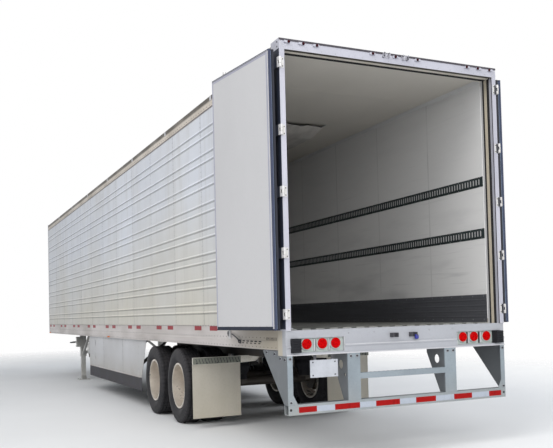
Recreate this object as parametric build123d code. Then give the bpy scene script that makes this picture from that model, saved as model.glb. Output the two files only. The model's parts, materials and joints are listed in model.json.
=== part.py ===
from build123d import *
import os

# Insulated 53 foot semi trailer with rear swing doors, parked on its landing gear.
# Millimetres. While it is drawn, x runs forward from the rear frame's face, y to the
# trailer's left and z up from the ground. At export everything moves so that the origin
# is on the kingpin's axis, in the coupler plate's underside.

# Box body: the overall sizes that the rest is worked out from
BODY_LENGTH = 16154
BODY_WIDTH = 2591
ROOF_TOP = 4066
ROOF_THICKNESS = 66
FLOOR_TOP = 1290
FLOOR_THICKNESS = 100
RAIL_BOTTOM = 1090
BOTTOM_RAIL_HEIGHT = 240
TOP_RAIL_HEIGHT = 143
WALL_THICKNESS = 60.5
SHEET_RECESS = 8
FRONT_WALL = 90
FRONT_CORNER = 45
HALF_WIDTH = BODY_WIDTH / 2
LINER_Y = HALF_WIDTH - WALL_THICKNESS
FLOOR_BOTTOM = FLOOR_TOP - FLOOR_THICKNESS
CEILING = ROOF_TOP - ROOF_THICKNESS
SIDE_JOINT_Z = RAIL_BOTTOM + BOTTOM_RAIL_HEIGHT
TOP_RAIL_Z = ROOF_TOP - TOP_RAIL_HEIGHT
WALL_END = BODY_LENGTH - FRONT_WALL

# Rolled flutes along the side sheets, evenly spaced between the two rails: a pair of beads each
FLUTE_COUNT = 8
FLUTE_SPREAD = 102
FLUTE_BEAD = 26
FLUTE_FLANK = 8
FLUTE_ABOVE_JOINT = 208
FLUTE_BELOW_RAIL = 255
FLUTE_FIRST_Z = SIDE_JOINT_Z + FLUTE_ABOVE_JOINT
FLUTE_PITCH = (TOP_RAIL_Z - FLUTE_BELOW_RAIL - FLUTE_FIRST_Z) / (FLUTE_COUNT - 1)

# Bottom and top rail sections
RAIL_LIP = 12
RAIL_CREASE = 5
RAIL_CREASE_RISE = 88
RAIL_BEAD = 10
TOP_RAIL_CHAMFER = 22

# Floor grooves, cross members under the floor
GROOVE_PITCH = 152
GROOVE_WIDTH = 58
GROOVE_DEPTH = 26
BEAM_PITCH = 406
BEAM_WIDTH = 64
BEAM_WEB = 8
BEAM_FLANGE = 9
BEAM_RAISE = 5
BEAM_BOTTOM = RAIL_BOTTOM + BEAM_RAISE
BEAM_HALF = HALF_WIDTH - RAIL_LIP

# Rear frame, sill and their grooves
FRAME_DEPTH = 200
FRAME_RISE = 14
POST_WIDTH = 54
HEADER_HEIGHT = 105
SILL_DROP = 10
SILL_HEIGHT = 240
SILL_RIDGE_RISE = 88
SILL_RIDGE = 12
JAMB_START = (62, 160)
JAMB_WIDTH = (46, 25)
JAMB_DEPTH = (10, 8)
BODY_TOP = ROOF_TOP + FRAME_RISE
POST_INNER = HALF_WIDTH - POST_WIDTH
HEADER_BOTTOM = BODY_TOP - HEADER_HEIGHT
SILL_TOP = FLOOR_TOP - SILL_DROP
SILL_BOTTOM = SILL_TOP - SILL_HEIGHT
SILL_RIDGE_Z = SILL_BOTTOM + SILL_RIDGE_RISE

# Lamps and dock buffers in the sill
LAMP_BOX_RISE = 26
LAMP_BOX_HEIGHT = 138
LAMP_BOX_FROM_SIDE = (625.5, 47.5)
LAMP_BOX_DEPTH = 45
LAMP_RISE = 107
LAMP_RADIUS = 51
LAMP_FROM_SIDE = (223.5, 390.5, 534.5)
LAMP_LENGTH = 32
LAMP_LENS_LENGTH = 6
LAMP_BEZEL = 8
LAMP_CHAMFER = 4
BUFFER_WIDTH = 88
BUFFER_HEIGHT = 130
BUFFER_REACH = 50
BUFFER_CHAMFER = 8
MARKER_DEPTH = 18
MARKER_WIDTH = 60
MARKER_HEIGHT = 22
HEADER_MARKER_Y = (1217, 1063, 906, 272, 0, -272, -906, -1063, -1217)
HEADER_MARKER_DROP = 34
TURN_MARKER_X = 8150
FRONT_MARKER_BEHIND_NOSE = 254
SIDE_MARKER_RISE = 18
LAMP_BOX_Z = SILL_BOTTOM + LAMP_BOX_RISE
LAMP_BOX_Y = [HALF_WIDTH - inset for inset in LAMP_BOX_FROM_SIDE]
LAMP_Y = [HALF_WIDTH - inset for inset in LAMP_FROM_SIDE]
LAMP_Z = SILL_BOTTOM + LAMP_RISE
HEADER_MARKER_Z = BODY_TOP - HEADER_MARKER_DROP
SIDE_MARKER_Z = RAIL_BOTTOM + SIDE_MARKER_RISE
SIDE_MARKER_X = (TURN_MARKER_X, BODY_LENGTH - FRONT_MARKER_BEHIND_NOSE)

# Rear guard
GUARD_BAR = 100
GUARD_BAR_WALL = 8
GUARD_BAR_Z = 480
GUARD_INSET = 7.5
GUARD_PLATE = 8
INNER_POST_Y = 575
INNER_POST_WIDTH = 140
INNER_GUSSET_LENGTH = 335
INNER_GUSSET_LIP = 52
OUTER_GUSSET_LENGTH = 600
OUTER_GUSSET_LIP = 20
OUTER_FLANGE = 52
OUTER_CORNER_WIDTH = 45
OUTER_CORNER_HEIGHT = 90
GUSSET_FOOT = 104
GUSSET_HOLE = 46
GUSSET_HOLE_X = 150
GUSSET_HOLE_DROP = 115
SMALL_HOLE = 17
SMALL_HOLE_X = 66
SMALL_HOLE_DROP = 215
STEP_Z = 784
STEP_HEIGHT = 58
STEP_DEPTH = 40
STEP_WALL = 6
PANEL_Y = (750, 1048)
PANEL_DROP = 50
PANEL_HEIGHT = 168
PANEL_THICKNESS = 4
PANEL_X = 12
PANEL_TAB = 30
PANEL_TAB_INSET = 40
GUARD_HALF = HALF_WIDTH - GUARD_INSET
GUARD_TOP = GUARD_BAR_Z + GUARD_BAR

# Doors. Each is drawn shut and then turned to its place at rest.
DOOR_THICKNESS = 72
DOOR_GAP = 6
DOOR_CHAMFER = 4
SEAL_REACH = 15
SEAL_MARGIN = 8
SEAL_BULB = 22
SEAL_WEB_REACH = 7
REST_LEFT = 263
REST_RIGHT = 266
PIN_BEHIND = 24
PIN_OUTSIDE = 3
PIN_RADIUS = 7
PIN_CLEARANCE = 0.3
KNUCKLE_RADIUS = 13
KNUCKLE_LENGTH = 34
KNUCKLE_GAP = 1
KNUCKLE_ROOM = 17
HINGE_HEIGHT = 100
HINGE_FROM_BOTTOM = 150
HINGE_FROM_TOP = 129
HINGE_SHARES = (0, 0.242, 0.485, 0.73, 1)
STRAP_THICKNESS = 8
STRAP_CLEAR = 11
STRAP_LENGTH = 270
STRAP_OVERHANG = 10
LEAF_THICKNESS = 5
LEAF_WIDTH = 44
ROD_RADIUS = 13.5
ROD_OFFSET = 30
ROD_FROM_EDGE = 95
ROD_RISE = 77
ROD_DROP = 84
ROD_GUIDES = 4
ROD_GUIDE_HEIGHT = 40
ROD_GUIDE_WIDTH = 70
ROD_GUIDE_FROM_BOTTOM = 134
ROD_GUIDE_FROM_TOP = 109
CAM_LENGTH = 26
CAM_RADIUS = 17
HANDLE_RISE = 724
HANDLE_LENGTH = 460
HANDLE_THICKNESS = 10
HANDLE_HEIGHT = 32
CATCH_WIDTH = 40
CATCH_FROM_END = 80
CATCH_WALL = 6
KEEPER_CLEAR = 8
KEEPER_WALL = 10
KEEPER_HEIGHT = 44
KEEPER_REACH = 46
PIN_X = -PIN_BEHIND
PIN_Y = HALF_WIDTH + PIN_OUTSIDE
DOOR_OUTER_Y = POST_INNER - DOOR_GAP
DOOR_TOP = HEADER_BOTTOM - DOOR_GAP
DOOR_BOTTOM = SILL_TOP + DOOR_GAP
DOOR_INNER_Y = DOOR_GAP / 2
ROD_Y = DOOR_INNER_Y + SEAL_REACH + ROD_FROM_EDGE
ROD_TOP = HEADER_BOTTOM + ROD_RISE
ROD_BOTTOM = SILL_TOP - ROD_DROP
HANDLE_Z = DOOR_BOTTOM + HANDLE_RISE
HINGE_FIRST_Z = DOOR_BOTTOM + HINGE_FROM_BOTTOM
HINGE_SPAN = DOOR_TOP - HINGE_FROM_TOP - HINGE_FIRST_Z
HINGE_Z = [HINGE_FIRST_Z + share * HINGE_SPAN for share in HINGE_SHARES]

# Inside the box
SCUFF_HEIGHT = 310
SCUFF_THICKNESS = 6
SCUFF_RIB_PITCH = 62
SCUFF_RIB = 3
SCUFF_RIB_CREST = 5
SCUFF_RIB_FOOT = 9
TRACK_RISE = (990, 1570)
TRACK_HEIGHT = 112
TRACK_THICKNESS = 9
TRACK_RIM = 3
TRACK_LIP = 14
TRACK_FLANK = 6
CHUTE_START = 2700
CHUTE_SHORT_OF_NOSE = 164
CHUTE_WIDTH = 1120
CHUTE_FOOT_WIDTH = 963
CHUTE_DEPTH = 130
CHUTE_WALL = 6
CHUTE_X = (CHUTE_START, WALL_END - CHUTE_SHORT_OF_NOSE)

# Coupler and kingpin, to the 2 inch standard
KINGPIN_SETBACK = 914
COUPLER_Z = 1120
COUPLER_PLATE = 12
COUPLER_BEHIND = 1190
COUPLER_AHEAD = 800
COUPLER_BEAMS = 7
COUPLER_RAMP = 120
COUPLER_LIFT = 40
SHANK_RADIUS = 46
SHANK_CLEARANCE = 0.3
RELIEF_LENGTH = 1.5
RELIEF_RADIUS = 35
COLLAR_RADIUS = 36.5
COLLAR_LENGTH = 35
NECK_RADIUS = 25.4
NECK_LENGTH = 35
HEAD_RADIUS = 35.7
HEAD_LENGTH = 14
HEAD_CHAMFER = 4
KINGPIN_X = BODY_LENGTH - KINGPIN_SETBACK
COUPLER_X = (KINGPIN_X - COUPLER_BEHIND, KINGPIN_X + COUPLER_AHEAD)

# Landing gear
LEG_BEHIND_PIN = 2340
LEG_Y = 950
LEG_OUTER = 127
LEG_OUTER_BOTTOM = 560
LEG_INNER = 102
SHOE_LENGTH = 300
SHOE_WIDTH = 260
SHOE_SOLE = 14
SHOE_HEIGHT = 95
SHAFT_Z = 905
SHAFT_RADIUS = 17
BRACE_RUN = 862
BRACE_FOOT_Z = 600
BRACE_REACH = 560
BRACE_WIDTH = 50
BRACE_SLOPE_WIDTH = 70
GEARBOX_LENGTH = 120
GEARBOX_WIDTH = 90
GEARBOX_HEIGHT = 240
CRANK_LENGTH = 330
CRANK_REACH = 90
CRANK_BAR = 28
LEG_X = KINGPIN_X - LEG_BEHIND_PIN

# Wheels: twin tyres on each end of two axles
AXLE_REAR_X = 3747
AXLE_SPREAD = 1249
TYRE_RADIUS = 505
TYRE_WIDTH = 280
TYRE_INSET = 5.5
TREAD_HALF = 108
SHOULDER_DROP = 14
SHOULDER_HALF = 124
SIDEWALL_DROP = 120
BEAD_HALF = 101
BEAD_HEIGHT = 22
BEAD_STEP = 1
TWIN_SPACING = 330
RIM_HALF = 113
RIM_LIP = 9
RIM_WALL = 7
BEAD_RADIUS = 292
RIM_FLANGE = 308
RIM_DISC = 12
DISC_FLAT_RADIUS = 172
DISC_RISE = 56
HAND_HOLES = 8
HAND_HOLE_RADIUS = 30
HAND_HOLE_PLACE = 226
DRUM_RADIUS = 209
DRUM_WIDTH = 190
DRUM_WALL = 18
HUB_RADIUS = 84
HUB_BACK = 200
HUB_LAND = 1
HUB_FRONT = 60
HUB_CAP_RADIUS = 70
HUB_CAP_LENGTH = 45
HUB_CAP_WALL = 15
SPINDLE_RADIUS = 45
SPINDLE_CLEARANCE = 0.5
SPINDLE_END = 80
SEAT_CLEARANCE = 0.3
AXLE_X = (AXLE_REAR_X, AXLE_REAR_X + AXLE_SPREAD)
TYRE_Y = HALF_WIDTH - TYRE_INSET - TYRE_WIDTH / 2
WHEEL_FACE_Y = TYRE_Y - TWIN_SPACING / 2

# Axles and suspension
AXLE_RADIUS = 63.5
AXLE_END_GAP = 40
BACKPLATE_RADIUS = 164
BACKPLATE_WIDTH = 30
BACKPLATE_INSET = 30
CHAMBER_RADIUS = 82
CHAMBER_LENGTH = 190
CHAMBER_Y = 235
CHAMBER_AHEAD = 150
CHAMBER_RISE = 40
CHAMBER_PLATE = 16
CHAMBER_PLATE_HALF = 20
SLIDER_Y = 480
SLIDER_BEHIND = 1251
SLIDER_AHEAD = 1340
SLIDER_WIDTH = 90
SLIDER_HEIGHT = 190
SLIDER_WALL = 12
SLIDER_TIE = 80
SLIDER_TIE_HEIGHT = 120
SLIDER_TIE_RISE = 30
SLIDER_TIE_INSET = 200
ARM_PIVOT = 490
ARM_TAIL = 450
ARM_WIDTH = 76
ARM_PIVOT_HALF = 45
ARM_EYE_HALF = 40
ARM_HUMP_HALF = 120
ARM_HUMP = 90
ARM_TAIL_DEPTH = 50
PIVOT_Z = 640
PIVOT_RADIUS = 26
HANGER_PLATE = 14
HANGER_GAP = 4
HANGER_FOOT = 65
HANGER_DROP = 60
HANGER_BEHIND = 190
HANGER_AHEAD = 150
PIVOT_HEAD = 20
SPRING_RADIUS = 118
SPRING_BASE_RADIUS = 85
SPRING_WAIST_RADIUS = 101
SPRING_BEHIND = 330
SPRING_SEAT_Z = 560
SHOCK_RADIUS = 32
SHOCK_ROD_RADIUS = 14
SHOCK_BODY = 190
SLIDER_X = (AXLE_X[0] - SLIDER_BEHIND, AXLE_X[1] + SLIDER_AHEAD)
SLIDER_BOTTOM = BEAM_BOTTOM - SLIDER_HEIGHT

# Skirts and mud flaps
SKIRT_AHEAD_OF_AXLE = 484
SKIRT_BEHIND_LEG = 2570
SKIRT_INSET = 33.5
SKIRT_THICKNESS = 6
SKIRT_BOTTOM = 486
SKIRT_EDGE_BOTTOM = 276
SKIRT_LEAN = 340
SKIRT_FRONT_LEAN = 60
SKIRT_SLOT_X = 700
SKIRT_SLOT_WIDTH = 45
SKIRT_SLOT_Z = (640, 905)
SKIRT_SLOT_HEIGHT = 110
STRUT_COUNT = 5
STRUT_REAR_MARGIN = 448
STRUT_FRONT_MARGIN = 86
STRUT_WIDTH = 40
STRUT_SLOPE_WIDTH = 64
STRUT_FOOT_Z = 640
STRUT_RUN = 520
FLAP_BEHIND_AXLE = 737
FLAP_INNER_Y = 640
FLAP_Z = (132, 900)
FLAP_THICKNESS = 8
FLAP_BAR_Z = (820, 910)
FLAP_BAR_DEPTH = 30
FLAP_BAR_INNER_Y = 372
FLAP_BAR_NOSE = 60
FLAP_BAR_NOSE_RISE = 10
FLAP_BAR_NOSE_DEPTH = 20
SKIRT_X = (AXLE_X[1] + SKIRT_AHEAD_OF_AXLE, LEG_X - SKIRT_BEHIND_LEG)
SKIRT_Y = HALF_WIDTH - SKIRT_INSET
FLAP_X = AXLE_X[0] - FLAP_BEHIND_AXLE

# Refrigeration unit on the nose, its fuel tank, and the front connections
UNIT_DEPTH = 440
UNIT_FOOT_DEPTH = 317
UNIT_WIDTH = 2030
UNIT_BOTTOM = 1930
UNIT_BELOW_ROOF = 106
UNIT_WAIST_RISE = 750
UNIT_WAIST_SLOPE = 80
UNIT_TOP_CHAMFER = 60
UNIT_SIDE_CHAMFER = 90
UNIT_GRILLE_DROP = 400
UNIT_GRILLE_HEIGHT = 760
UNIT_GRILLE_WIDTH = 1300
UNIT_SLATS = 12
UNIT_SLAT = 30
UNIT_SLAT_SHARES = (0.3, 0.45, 0.55, 0.7)
UNIT_RECESS = 40
UNIT_RIM = 30
UNIT_SEAT = 1
TANK_BEHIND_LEG = 1674
TANK_LENGTH = 1060
TANK_FROM_SIDE = 535.5
TANK_DROP = 335
TANK_RADIUS = 270
TANK_CHAMFER = 34
TANK_STRAP = 50
TANK_STRAP_WALL = 5
TANK_BRACKET = 40
TANK_BRACKET_Y = 130
TANK_BRACKET_RISE = 190
CONNECT_Z = 1560
CONNECT_SPACING = 260
CONNECT_MARGIN = 90
CONNECT_HEIGHT = 150
CONNECT_PLATE = 10
SOCKET_RADIUS = 38
SOCKET_LENGTH = 65
COUPLING_STEM = 18
COUPLING_STEM_LENGTH = 35
COUPLING_RADIUS = 34
COUPLING_HEIGHT = 50
COUPLING_SET_OUT = 50
UNIT_TOP = ROOF_TOP - UNIT_BELOW_ROOF
UNIT_WAIST_Z = UNIT_BOTTOM + UNIT_WAIST_RISE
UNIT_GRILLE_Z = (UNIT_TOP - UNIT_GRILLE_DROP - UNIT_GRILLE_HEIGHT, UNIT_TOP - UNIT_GRILLE_DROP)
TANK_Z = BEAM_BOTTOM - TANK_DROP
TANK_Y = HALF_WIDTH - TANK_FROM_SIDE
CONNECT_Y = (-CONNECT_SPACING, 0, CONNECT_SPACING)

PARTS = {}


def block(x0, x1, y0, y1, z0, z1):
    """A box given by its two corners."""
    size = (x1 - x0, y1 - y0, z1 - z0)
    return Pos((x0 + x1) / 2, (y0 + y1) / 2, (z0 + z1) / 2) * Box(*size)


def along_x(outline, x0, x1):
    """An outline of (y, z) points drawn out from x0 to x1."""
    plane = Plane(origin=(x0, 0, 0), x_dir=(0, 1, 0), z_dir=(1, 0, 0))
    return extrude(plane * make_face(Polyline(*outline, close=True)), amount=x1 - x0)


def along_y(outline, y0, y1):
    """An outline of (x, z) points drawn out from y0 to y1."""
    plane = Plane(origin=(0, y0, 0), x_dir=(0, 0, 1), z_dir=(0, 1, 0))
    turned = [(z, x) for x, z in outline]
    return extrude(plane * make_face(Polyline(*turned, close=True)), amount=y1 - y0)


def along_z(outline, z0, z1):
    """An outline of (x, y) points drawn out from z0 to z1."""
    return Pos(0, 0, z0) * extrude(make_face(Polyline(*outline, close=True)), amount=z1 - z0)


def turned_y(outline):
    """An outline of (radius, y) points turned once about the y axis."""
    return revolve(make_face(Polyline(*outline, close=True)), Axis.Y)


def rod_x(x0, x1, y, z, radius):
    return Pos((x0 + x1) / 2, y, z) * Rot(0, 90, 0) * Cylinder(radius, x1 - x0)


def rod_y(x, y0, y1, z, radius):
    return Pos(x, (y0 + y1) / 2, z) * Rot(90, 0, 0) * Cylinder(radius, y1 - y0)


def rod_z(x, y, z0, z1, radius):
    return Pos(x, y, (z0 + z1) / 2) * Cylinder(radius, z1 - z0)


def both_sides(shape):
    """The shape and its mirror image on the other side of the centre line."""
    return shape, mirror(shape, about=Plane.XZ)


def add(name, *shapes):
    PARTS[name] = Compound(children=[solid for shape in shapes for solid in shape.solids()])


# Box body

def side_wall():
    """The left wall: a flat liner inside, outside a sheet whose flutes are pairs of beads."""
    skin = HALF_WIDTH - SHEET_RECESS
    outline = [(LINER_Y, SIDE_JOINT_Z), (skin, SIDE_JOINT_Z)]
    for index in range(FLUTE_COUNT):
        for side in (-1, 1):
            middle = FLUTE_FIRST_Z + index * FLUTE_PITCH + side * FLUTE_SPREAD / 2
            low = middle - FLUTE_BEAD / 2
            high = middle + FLUTE_BEAD / 2
            outline += [(skin, low), (HALF_WIDTH, low + FLUTE_FLANK)]
            outline += [(HALF_WIDTH, high - FLUTE_FLANK), (skin, high)]
    outline += [(skin, TOP_RAIL_Z), (LINER_Y, TOP_RAIL_Z)]
    return along_x(outline, FRAME_DEPTH, WALL_END)


def bottom_rail():
    lip = HALF_WIDTH - RAIL_LIP
    web = HALF_WIDTH - RAIL_CREASE
    crease = RAIL_BOTTOM + RAIL_CREASE_RISE
    outline = [(LINER_Y, FLOOR_BOTTOM), (lip, FLOOR_BOTTOM), (lip, RAIL_BOTTOM)]
    outline += [(HALF_WIDTH, RAIL_BOTTOM), (HALF_WIDTH, crease), (web, crease + RAIL_CREASE)]
    outline += [(web, SIDE_JOINT_Z - RAIL_BEAD), (HALF_WIDTH, SIDE_JOINT_Z - RAIL_BEAD + RAIL_CREASE)]
    outline += [(HALF_WIDTH, SIDE_JOINT_Z), (LINER_Y, SIDE_JOINT_Z)]
    return along_x(outline, FRAME_DEPTH, WALL_END)


def top_rail():
    outline = [(LINER_Y, TOP_RAIL_Z), (HALF_WIDTH, TOP_RAIL_Z)]
    outline += [(HALF_WIDTH, ROOF_TOP - TOP_RAIL_CHAMFER), (HALF_WIDTH - TOP_RAIL_CHAMFER, ROOF_TOP)]
    outline += [(LINER_Y, ROOF_TOP)]
    return along_x(outline, FRAME_DEPTH, WALL_END)


def front_wall():
    wall = block(WALL_END, BODY_LENGTH, -HALF_WIDTH, HALF_WIDTH, RAIL_BOTTOM, ROOF_TOP)
    corners = wall.edges().filter_by(Axis.Z).sort_by(Axis.X)[-2:]
    return fillet(corners, FRONT_CORNER)


def floor_deck():
    deck = block(FRAME_DEPTH, WALL_END, -LINER_Y, LINER_Y, FLOOR_BOTTOM, FLOOR_TOP)
    count = int((2 * LINER_Y - GROOVE_WIDTH) // GROOVE_PITCH)
    start = -(count - 1) * GROOVE_PITCH / 2
    for index in range(count):
        middle = start + index * GROOVE_PITCH
        deck -= block(FRAME_DEPTH, WALL_END, middle - GROOVE_WIDTH / 2, middle + GROOVE_WIDTH / 2,
                      FLOOR_TOP - GROOVE_DEPTH, FLOOR_TOP)
    return deck


def beam_x(index):
    """The middle of a cross member, counted from the rear."""
    return FRAME_DEPTH + BEAM_WIDTH + index * BEAM_PITCH


def beam_near(x):
    """The number of the cross member nearest to a place along the trailer."""
    return round((x - beam_x(0)) / BEAM_PITCH)


def cross_members():
    """I section beams across the underside, between the bottom rails."""
    low = BEAM_BOTTOM
    high = FLOOR_BOTTOM
    web = BEAM_WEB / 2
    edge = BEAM_WIDTH / 2
    half = [(edge, low), (edge, low + BEAM_FLANGE), (web, low + BEAM_FLANGE)]
    half += [(web, high - BEAM_FLANGE), (edge, high - BEAM_FLANGE), (edge, high)]
    outline = half + [(-x, z) for x, z in reversed(half)]
    beam = along_y(outline, -BEAM_HALF, BEAM_HALF)
    count = int((COUPLER_X[0] - BEAM_WIDTH - beam_x(0)) // BEAM_PITCH) + 1
    return [Pos(beam_x(index), 0, 0) * beam for index in range(count)]


# Rear frame

def rear_frame():
    """Two posts and the header, with the grooves that run round the doorway."""
    frame = block(0, FRAME_DEPTH, -HALF_WIDTH, HALF_WIDTH, SILL_TOP, BODY_TOP)
    frame -= block(0, FRAME_DEPTH, -POST_INNER, POST_INNER, SILL_TOP, HEADER_BOTTOM)
    for start, width, depth in zip(JAMB_START, JAMB_WIDTH, JAMB_DEPTH):
        frame -= block(start, start + width, -POST_INNER - depth, POST_INNER + depth,
                       SILL_TOP, HEADER_BOTTOM + depth)
    return frame


def rear_sill():
    """The sill plate with its ridge, lower lip and a recess for each group of lamps."""
    lip = SILL_RIDGE
    outline = [(0, SILL_BOTTOM), (FRAME_DEPTH, SILL_BOTTOM), (FRAME_DEPTH, SILL_TOP), (lip, SILL_TOP)]
    outline += [(lip, SILL_RIDGE_Z + lip), (0, SILL_RIDGE_Z), (0, SILL_RIDGE_Z - lip)]
    outline += [(lip / 2, SILL_RIDGE_Z - 2 * lip), (lip / 2, SILL_BOTTOM + lip), (0, SILL_BOTTOM + lip)]
    sill = along_y(outline, -HALF_WIDTH, HALF_WIDTH)
    pocket = block(0, LAMP_BOX_DEPTH, *LAMP_BOX_Y, LAMP_BOX_Z, LAMP_BOX_Z + LAMP_BOX_HEIGHT)
    for side in both_sides(pocket):
        sill -= side
    return sill


def tail_lamp():
    """A round lamp: a flat bezel with a shallow domed lens."""
    face = LAMP_BOX_DEPTH - LAMP_LENGTH
    body = rod_x(face + LAMP_LENS_LENGTH, LAMP_BOX_DEPTH, 0, 0, LAMP_RADIUS)
    lens = rod_x(face, face + LAMP_LENS_LENGTH, 0, 0, LAMP_RADIUS - LAMP_BEZEL)
    rim = (body + lens).edges().filter_by(GeomType.CIRCLE).sort_by(Axis.X)[0]
    return chamfer(rim, LAMP_CHAMFER)


def tail_lamps():
    lamp = tail_lamp()
    return [Pos(0, side * y, LAMP_Z) * lamp for side in (1, -1) for y in LAMP_Y]


def dock_buffer():
    y1 = LAMP_BOX_Y[1]
    low = LAMP_BOX_Z + (LAMP_BOX_HEIGHT - BUFFER_HEIGHT) / 2
    rubber = block(-BUFFER_REACH, LAMP_BOX_DEPTH, y1 - BUFFER_WIDTH, y1, low, low + BUFFER_HEIGHT)
    return chamfer(rubber.edges().filter_by(Axis.Z).sort_by(Axis.X)[:2], BUFFER_CHAMFER)


def header_marker(y):
    half = MARKER_WIDTH / 2
    tall = MARKER_HEIGHT / 2
    return block(-MARKER_DEPTH, 0, y - half, y + half, HEADER_MARKER_Z - tall, HEADER_MARKER_Z + tall)


def side_marker(x):
    """A lamp on the left bottom rail, twice as long as those on the header."""
    tall = MARKER_HEIGHT / 2
    return block(x - MARKER_WIDTH, x + MARKER_WIDTH, HALF_WIDTH, HALF_WIDTH + MARKER_DEPTH,
                 SIDE_MARKER_Z - tall, SIDE_MARKER_Z + tall)


# Rear guard

def inner_post():
    """A channel post on the left: its two webs run forward as gussets with round holes."""
    low = GUARD_TOP
    web = [(GUARD_PLATE, low), (GUSSET_FOOT, low), (INNER_GUSSET_LENGTH, SILL_BOTTOM - INNER_GUSSET_LIP)]
    web += [(INNER_GUSSET_LENGTH, SILL_BOTTOM), (GUARD_PLATE, SILL_BOTTOM)]
    y0 = INNER_POST_Y - INNER_POST_WIDTH / 2
    y1 = INNER_POST_Y + INNER_POST_WIDTH / 2
    post = block(0, GUARD_PLATE, y0, y1, low, SILL_BOTTOM)
    post += along_y(web, y0, y0 + GUARD_PLATE) + along_y(web, y1 - GUARD_PLATE, y1)
    post -= rod_y(GUSSET_HOLE_X, y0, y1, SILL_BOTTOM - GUSSET_HOLE_DROP, GUSSET_HOLE)
    return post - rod_y(SMALL_HOLE_X, y0, y1, SILL_BOTTOM - SMALL_HOLE_DROP, SMALL_HOLE)


def outer_post():
    """The left end plate: a narrow rear flange and a long gusset under the bottom rail."""
    low = GUARD_TOP
    top = BEAM_BOTTOM - 2 * BEAM_RAISE
    y1 = GUARD_HALF
    front = FRAME_DEPTH + GUARD_PLATE / 4
    web = [(0, low), (GUSSET_FOOT, low), (OUTER_GUSSET_LENGTH, top - OUTER_GUSSET_LIP)]
    web += [(OUTER_GUSSET_LENGTH, top), (front, top), (front, SILL_BOTTOM), (0, SILL_BOTTOM)]
    flange = block(0, GUARD_PLATE, y1 - OUTER_FLANGE, y1, low, SILL_BOTTOM)
    inner = y1 - OUTER_FLANGE
    corner = [(inner, low), (inner - OUTER_CORNER_WIDTH, low), (inner, low + OUTER_CORNER_HEIGHT)]
    return along_y(web, y1 - GUARD_PLATE, y1) + flange + along_x(corner, 0, GUARD_PLATE)


def rear_guard():
    wall = GUARD_BAR_WALL
    bar = block(0, GUARD_BAR, -GUARD_HALF, GUARD_HALF, GUARD_BAR_Z, GUARD_TOP)
    bar -= block(wall, GUARD_BAR - wall, -GUARD_HALF, GUARD_HALF, GUARD_BAR_Z + wall, GUARD_TOP - wall)
    half = INNER_POST_Y - INNER_POST_WIDTH / 2
    step_top = STEP_Z + STEP_HEIGHT
    step = block(0, STEP_DEPTH, -half, half, STEP_Z, step_top)
    step -= block(STEP_WALL, STEP_DEPTH, -half, half, STEP_Z + STEP_WALL, step_top - STEP_WALL)
    guard = bar + step
    for piece in both_sides(inner_post()) + both_sides(outer_post()):
        guard += piece
    return guard


def plate_panel():
    """A bare plate on two tabs under the sill."""
    top = SILL_BOTTOM - PANEL_DROP
    face = block(PANEL_X, PANEL_X + PANEL_THICKNESS, *PANEL_Y, top - PANEL_HEIGHT, top)
    back = PANEL_X + PANEL_THICKNESS
    for y in (PANEL_Y[0] + PANEL_TAB_INSET, PANEL_Y[1] - PANEL_TAB_INSET - PANEL_TAB):
        face += block(back, back + 2 * PANEL_THICKNESS, y, y + PANEL_TAB, top - PANEL_TAB, SILL_BOTTOM)
    return face


# Doors, drawn shut on the left side

def door_outline(grow):
    """The (y, z) corners of the door, grown on every side."""
    edge = SEAL_REACH - grow
    y0, y1 = DOOR_INNER_Y + edge, DOOR_OUTER_Y - edge
    z0, z1 = DOOR_BOTTOM + edge, DOOR_TOP - edge
    return [(y0, z0), (y1, z0), (y1, z1), (y0, z1)]


def door_panel():
    panel = along_x(door_outline(0), 0, DOOR_THICKNESS)
    return chamfer(panel.edges().filter_by(Axis.X), DOOR_CHAMFER)


def door_seal():
    """A double bulb seal round the door's edge."""
    front = SEAL_MARGIN
    back = DOOR_THICKNESS - SEAL_MARGIN
    seal = along_x(door_outline(SEAL_WEB_REACH), front, back)
    seal += along_x(door_outline(SEAL_REACH), front, front + SEAL_BULB)
    seal += along_x(door_outline(SEAL_REACH), back - SEAL_BULB, back)
    return seal - along_x(door_outline(0), front, back)


def door_strap(z):
    """A hinge strap on the outer skin, bent out over the post's leaf to its two knuckles."""
    edge = DOOR_OUTER_Y - SEAL_REACH - STRAP_OVERHANG
    half = HINGE_HEIGHT / 2
    lift = -STRAP_CLEAR
    back = lift - STRAP_THICKNESS
    foot = PIN_Y - STRAP_LENGTH
    bend = STRAP_CLEAR
    outline = [(0, foot), (0, edge), (lift, edge + bend), (lift, PIN_Y), (back, PIN_Y)]
    outline += [(back, edge - STRAP_THICKNESS), (-STRAP_THICKNESS, edge - STRAP_THICKNESS - bend)]
    outline += [(-STRAP_THICKNESS, foot)]
    strap = along_z(outline, z - half, z + half) + rod_z(PIN_X, PIN_Y, z - half, z + half, KNUCKLE_RADIUS)
    gap = half - KNUCKLE_LENGTH + KNUCKLE_GAP
    reach = KNUCKLE_RADIUS + KNUCKLE_ROOM
    strap -= block(PIN_X - reach, PIN_X + 2 * reach, PIN_Y - reach, PIN_Y + reach, z - gap, z + gap)
    return strap - rod_z(PIN_X, PIN_Y, z - half, z + half, PIN_RADIUS + PIN_CLEARANCE)


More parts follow.
